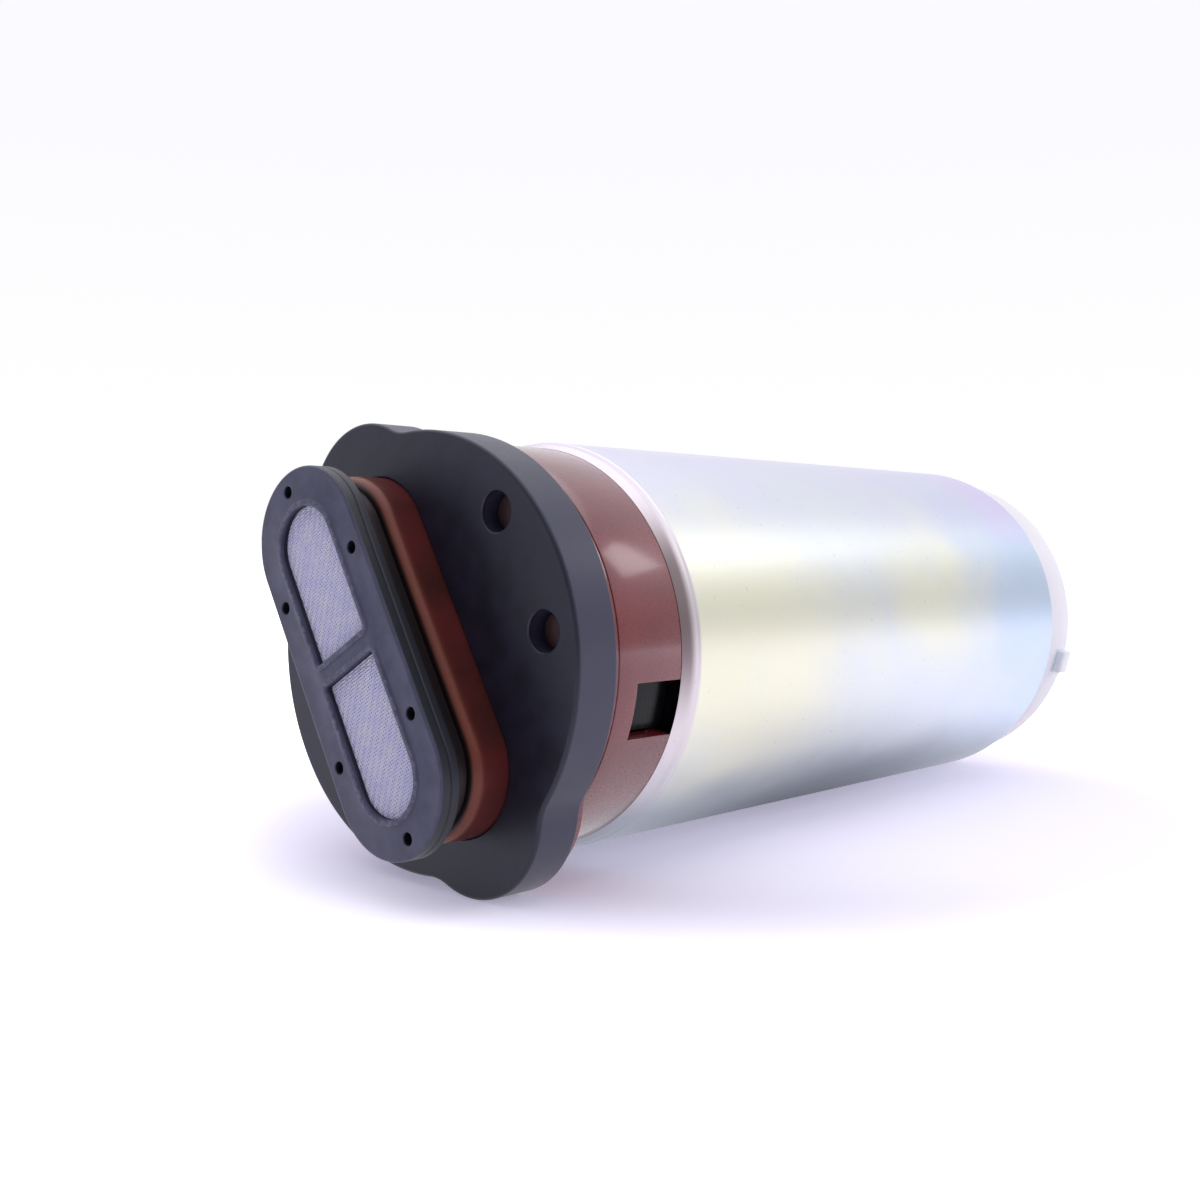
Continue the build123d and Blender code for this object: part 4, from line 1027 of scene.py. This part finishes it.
length = {"operation": "LENGTH"}
distance = paper.node("ShaderNodeVectorMath", length, {0: paper.spot()}, output="Value") / MM
# The floor glows less and lavender near the pump, and a little more beside the can: a painted
# shadow round the pump, seen by the camera and in reflections.
beside = paper.along(0).ramp(-46, -10)
seen, mirrored = rays(paper)
far = distance.ramp(52, 84)
seen_glow = 0.24 + beside * 0.17 + far * 0.72
mirrored_glow = 0.05 + distance.ramp(15, 52) * 0.59 + distance.ramp(90, 420) * 0.3
glow_and_shadow_tint = paper.blend(far.larger(mirrored), (0.8, 0.76, 1, 1), (0.99, 0.98, 1, 1))
glow_strength = seen * seen_glow + mirrored * mirrored_glow
glow = {"Color": glow_and_shadow_tint, "Strength": glow_strength}
lit = paper.node("ShaderNodeEmission", values=glow)
matt_floor = Signal(paper, paper.shader.outputs[0])
both = paper.node("ShaderNodeAddShader", values={0: matt_floor, 1: lit})
paper.nodes.links.new(both.socket, paper.nodes.nodes["Material Output"].inputs["Surface"])
floor_mesh.materials.append(paper.material)
studio_floor = bpy.data.objects.new("studio_floor", floor_mesh)
scene.collection.objects.link(studio_floor)

world = bpy.data.worlds.new("studio_world")
scene.world = world
world.use_nodes = True
room = Tree(world.node_tree)
ahead, side, rise = room.axes(room.node("ShaderNodeTexCoord", output="Generated"))
seen, mirrored = rays(room)
shown = seen.larger(mirrored)
off_level = abs(rise - 0.06).ramp(0.1, 0.34)
dim_side = (side * -1).ramp(0.1, 0.5) * (1 - off_level) * (0.36 + ahead.ramp(0.4, -0.1) * 0.5)
dim_front = ahead.ramp(-0.15, -0.6) * 0.6
wall_colour = room.blend(rise.ramp(0.05, 0.35), (1, 1, 1, 1), (0.965, 0.957, 1, 1))
room_colour = room.blend(shown, (0.74, 0.69, 1, 1), wall_colour)
room_strength = (shown * 0.7 + 0.3) * (1 - mirrored * dim_side.larger(dim_front))
backdrop = world.node_tree.nodes["Background"]
room.feed(backdrop.inputs["Color"], room_colour)
room.feed(backdrop.inputs["Strength"], room_strength)


def lamp(name, place, size, power, colour=(1, 1, 1), mirrored=True):
    """A square soft lamp, in millimetres and watts, turned towards the pump."""
    light = bpy.data.lights.new(name, "AREA")
    light.shape, light.size, light.energy, light.color = "SQUARE", size * MM, power, colour
    made = bpy.data.objects.new(name, light)
    made.visible_glossy = mirrored
    made.location = Vector(place) * MM
    made.rotation_euler = Vector(place).to_track_quat("Z", "Y").to_euler()
    scene.collection.objects.link(made)


lamp("overhead", (0, 80, 900), 1600, 7.0)
lamp("right_window", (423, -272, 340), 125, 0.17)
lamp("right_softbox", (300, -560, 190), 420, 0.7, mirrored=False)
lamp("rear_softbox", (700, -420, 200), 420, 2.2, mirrored=False)
lamp("left_softbox", (-420, 380, 260), 420, 0.28, colour=(0.72, 0.77, 1))

right = Vector((0.67719, -0.73580, 0.00447))
up = Vector((0.02494, 0.02902, 0.99927))
forward = Vector((0.73539, 0.67658, -0.03800))
camera_place = Vector((-144.08, -104.91, 10.47))
camera = bpy.data.cameras.new("viewpoint")
camera.lens, camera.sensor_width, camera.clip_start = 41.715, 36.0, 0.005
camera.dof.use_dof = False
viewpoint = bpy.data.objects.new("viewpoint", camera)
turned = Matrix((right, up, -forward)).transposed().to_4x4()
viewpoint.matrix_world = Matrix.Translation(camera_place * MM) @ turned
scene.collection.objects.link(viewpoint)
scene.camera = viewpoint
scene.view_settings.view_transform = "Standard"
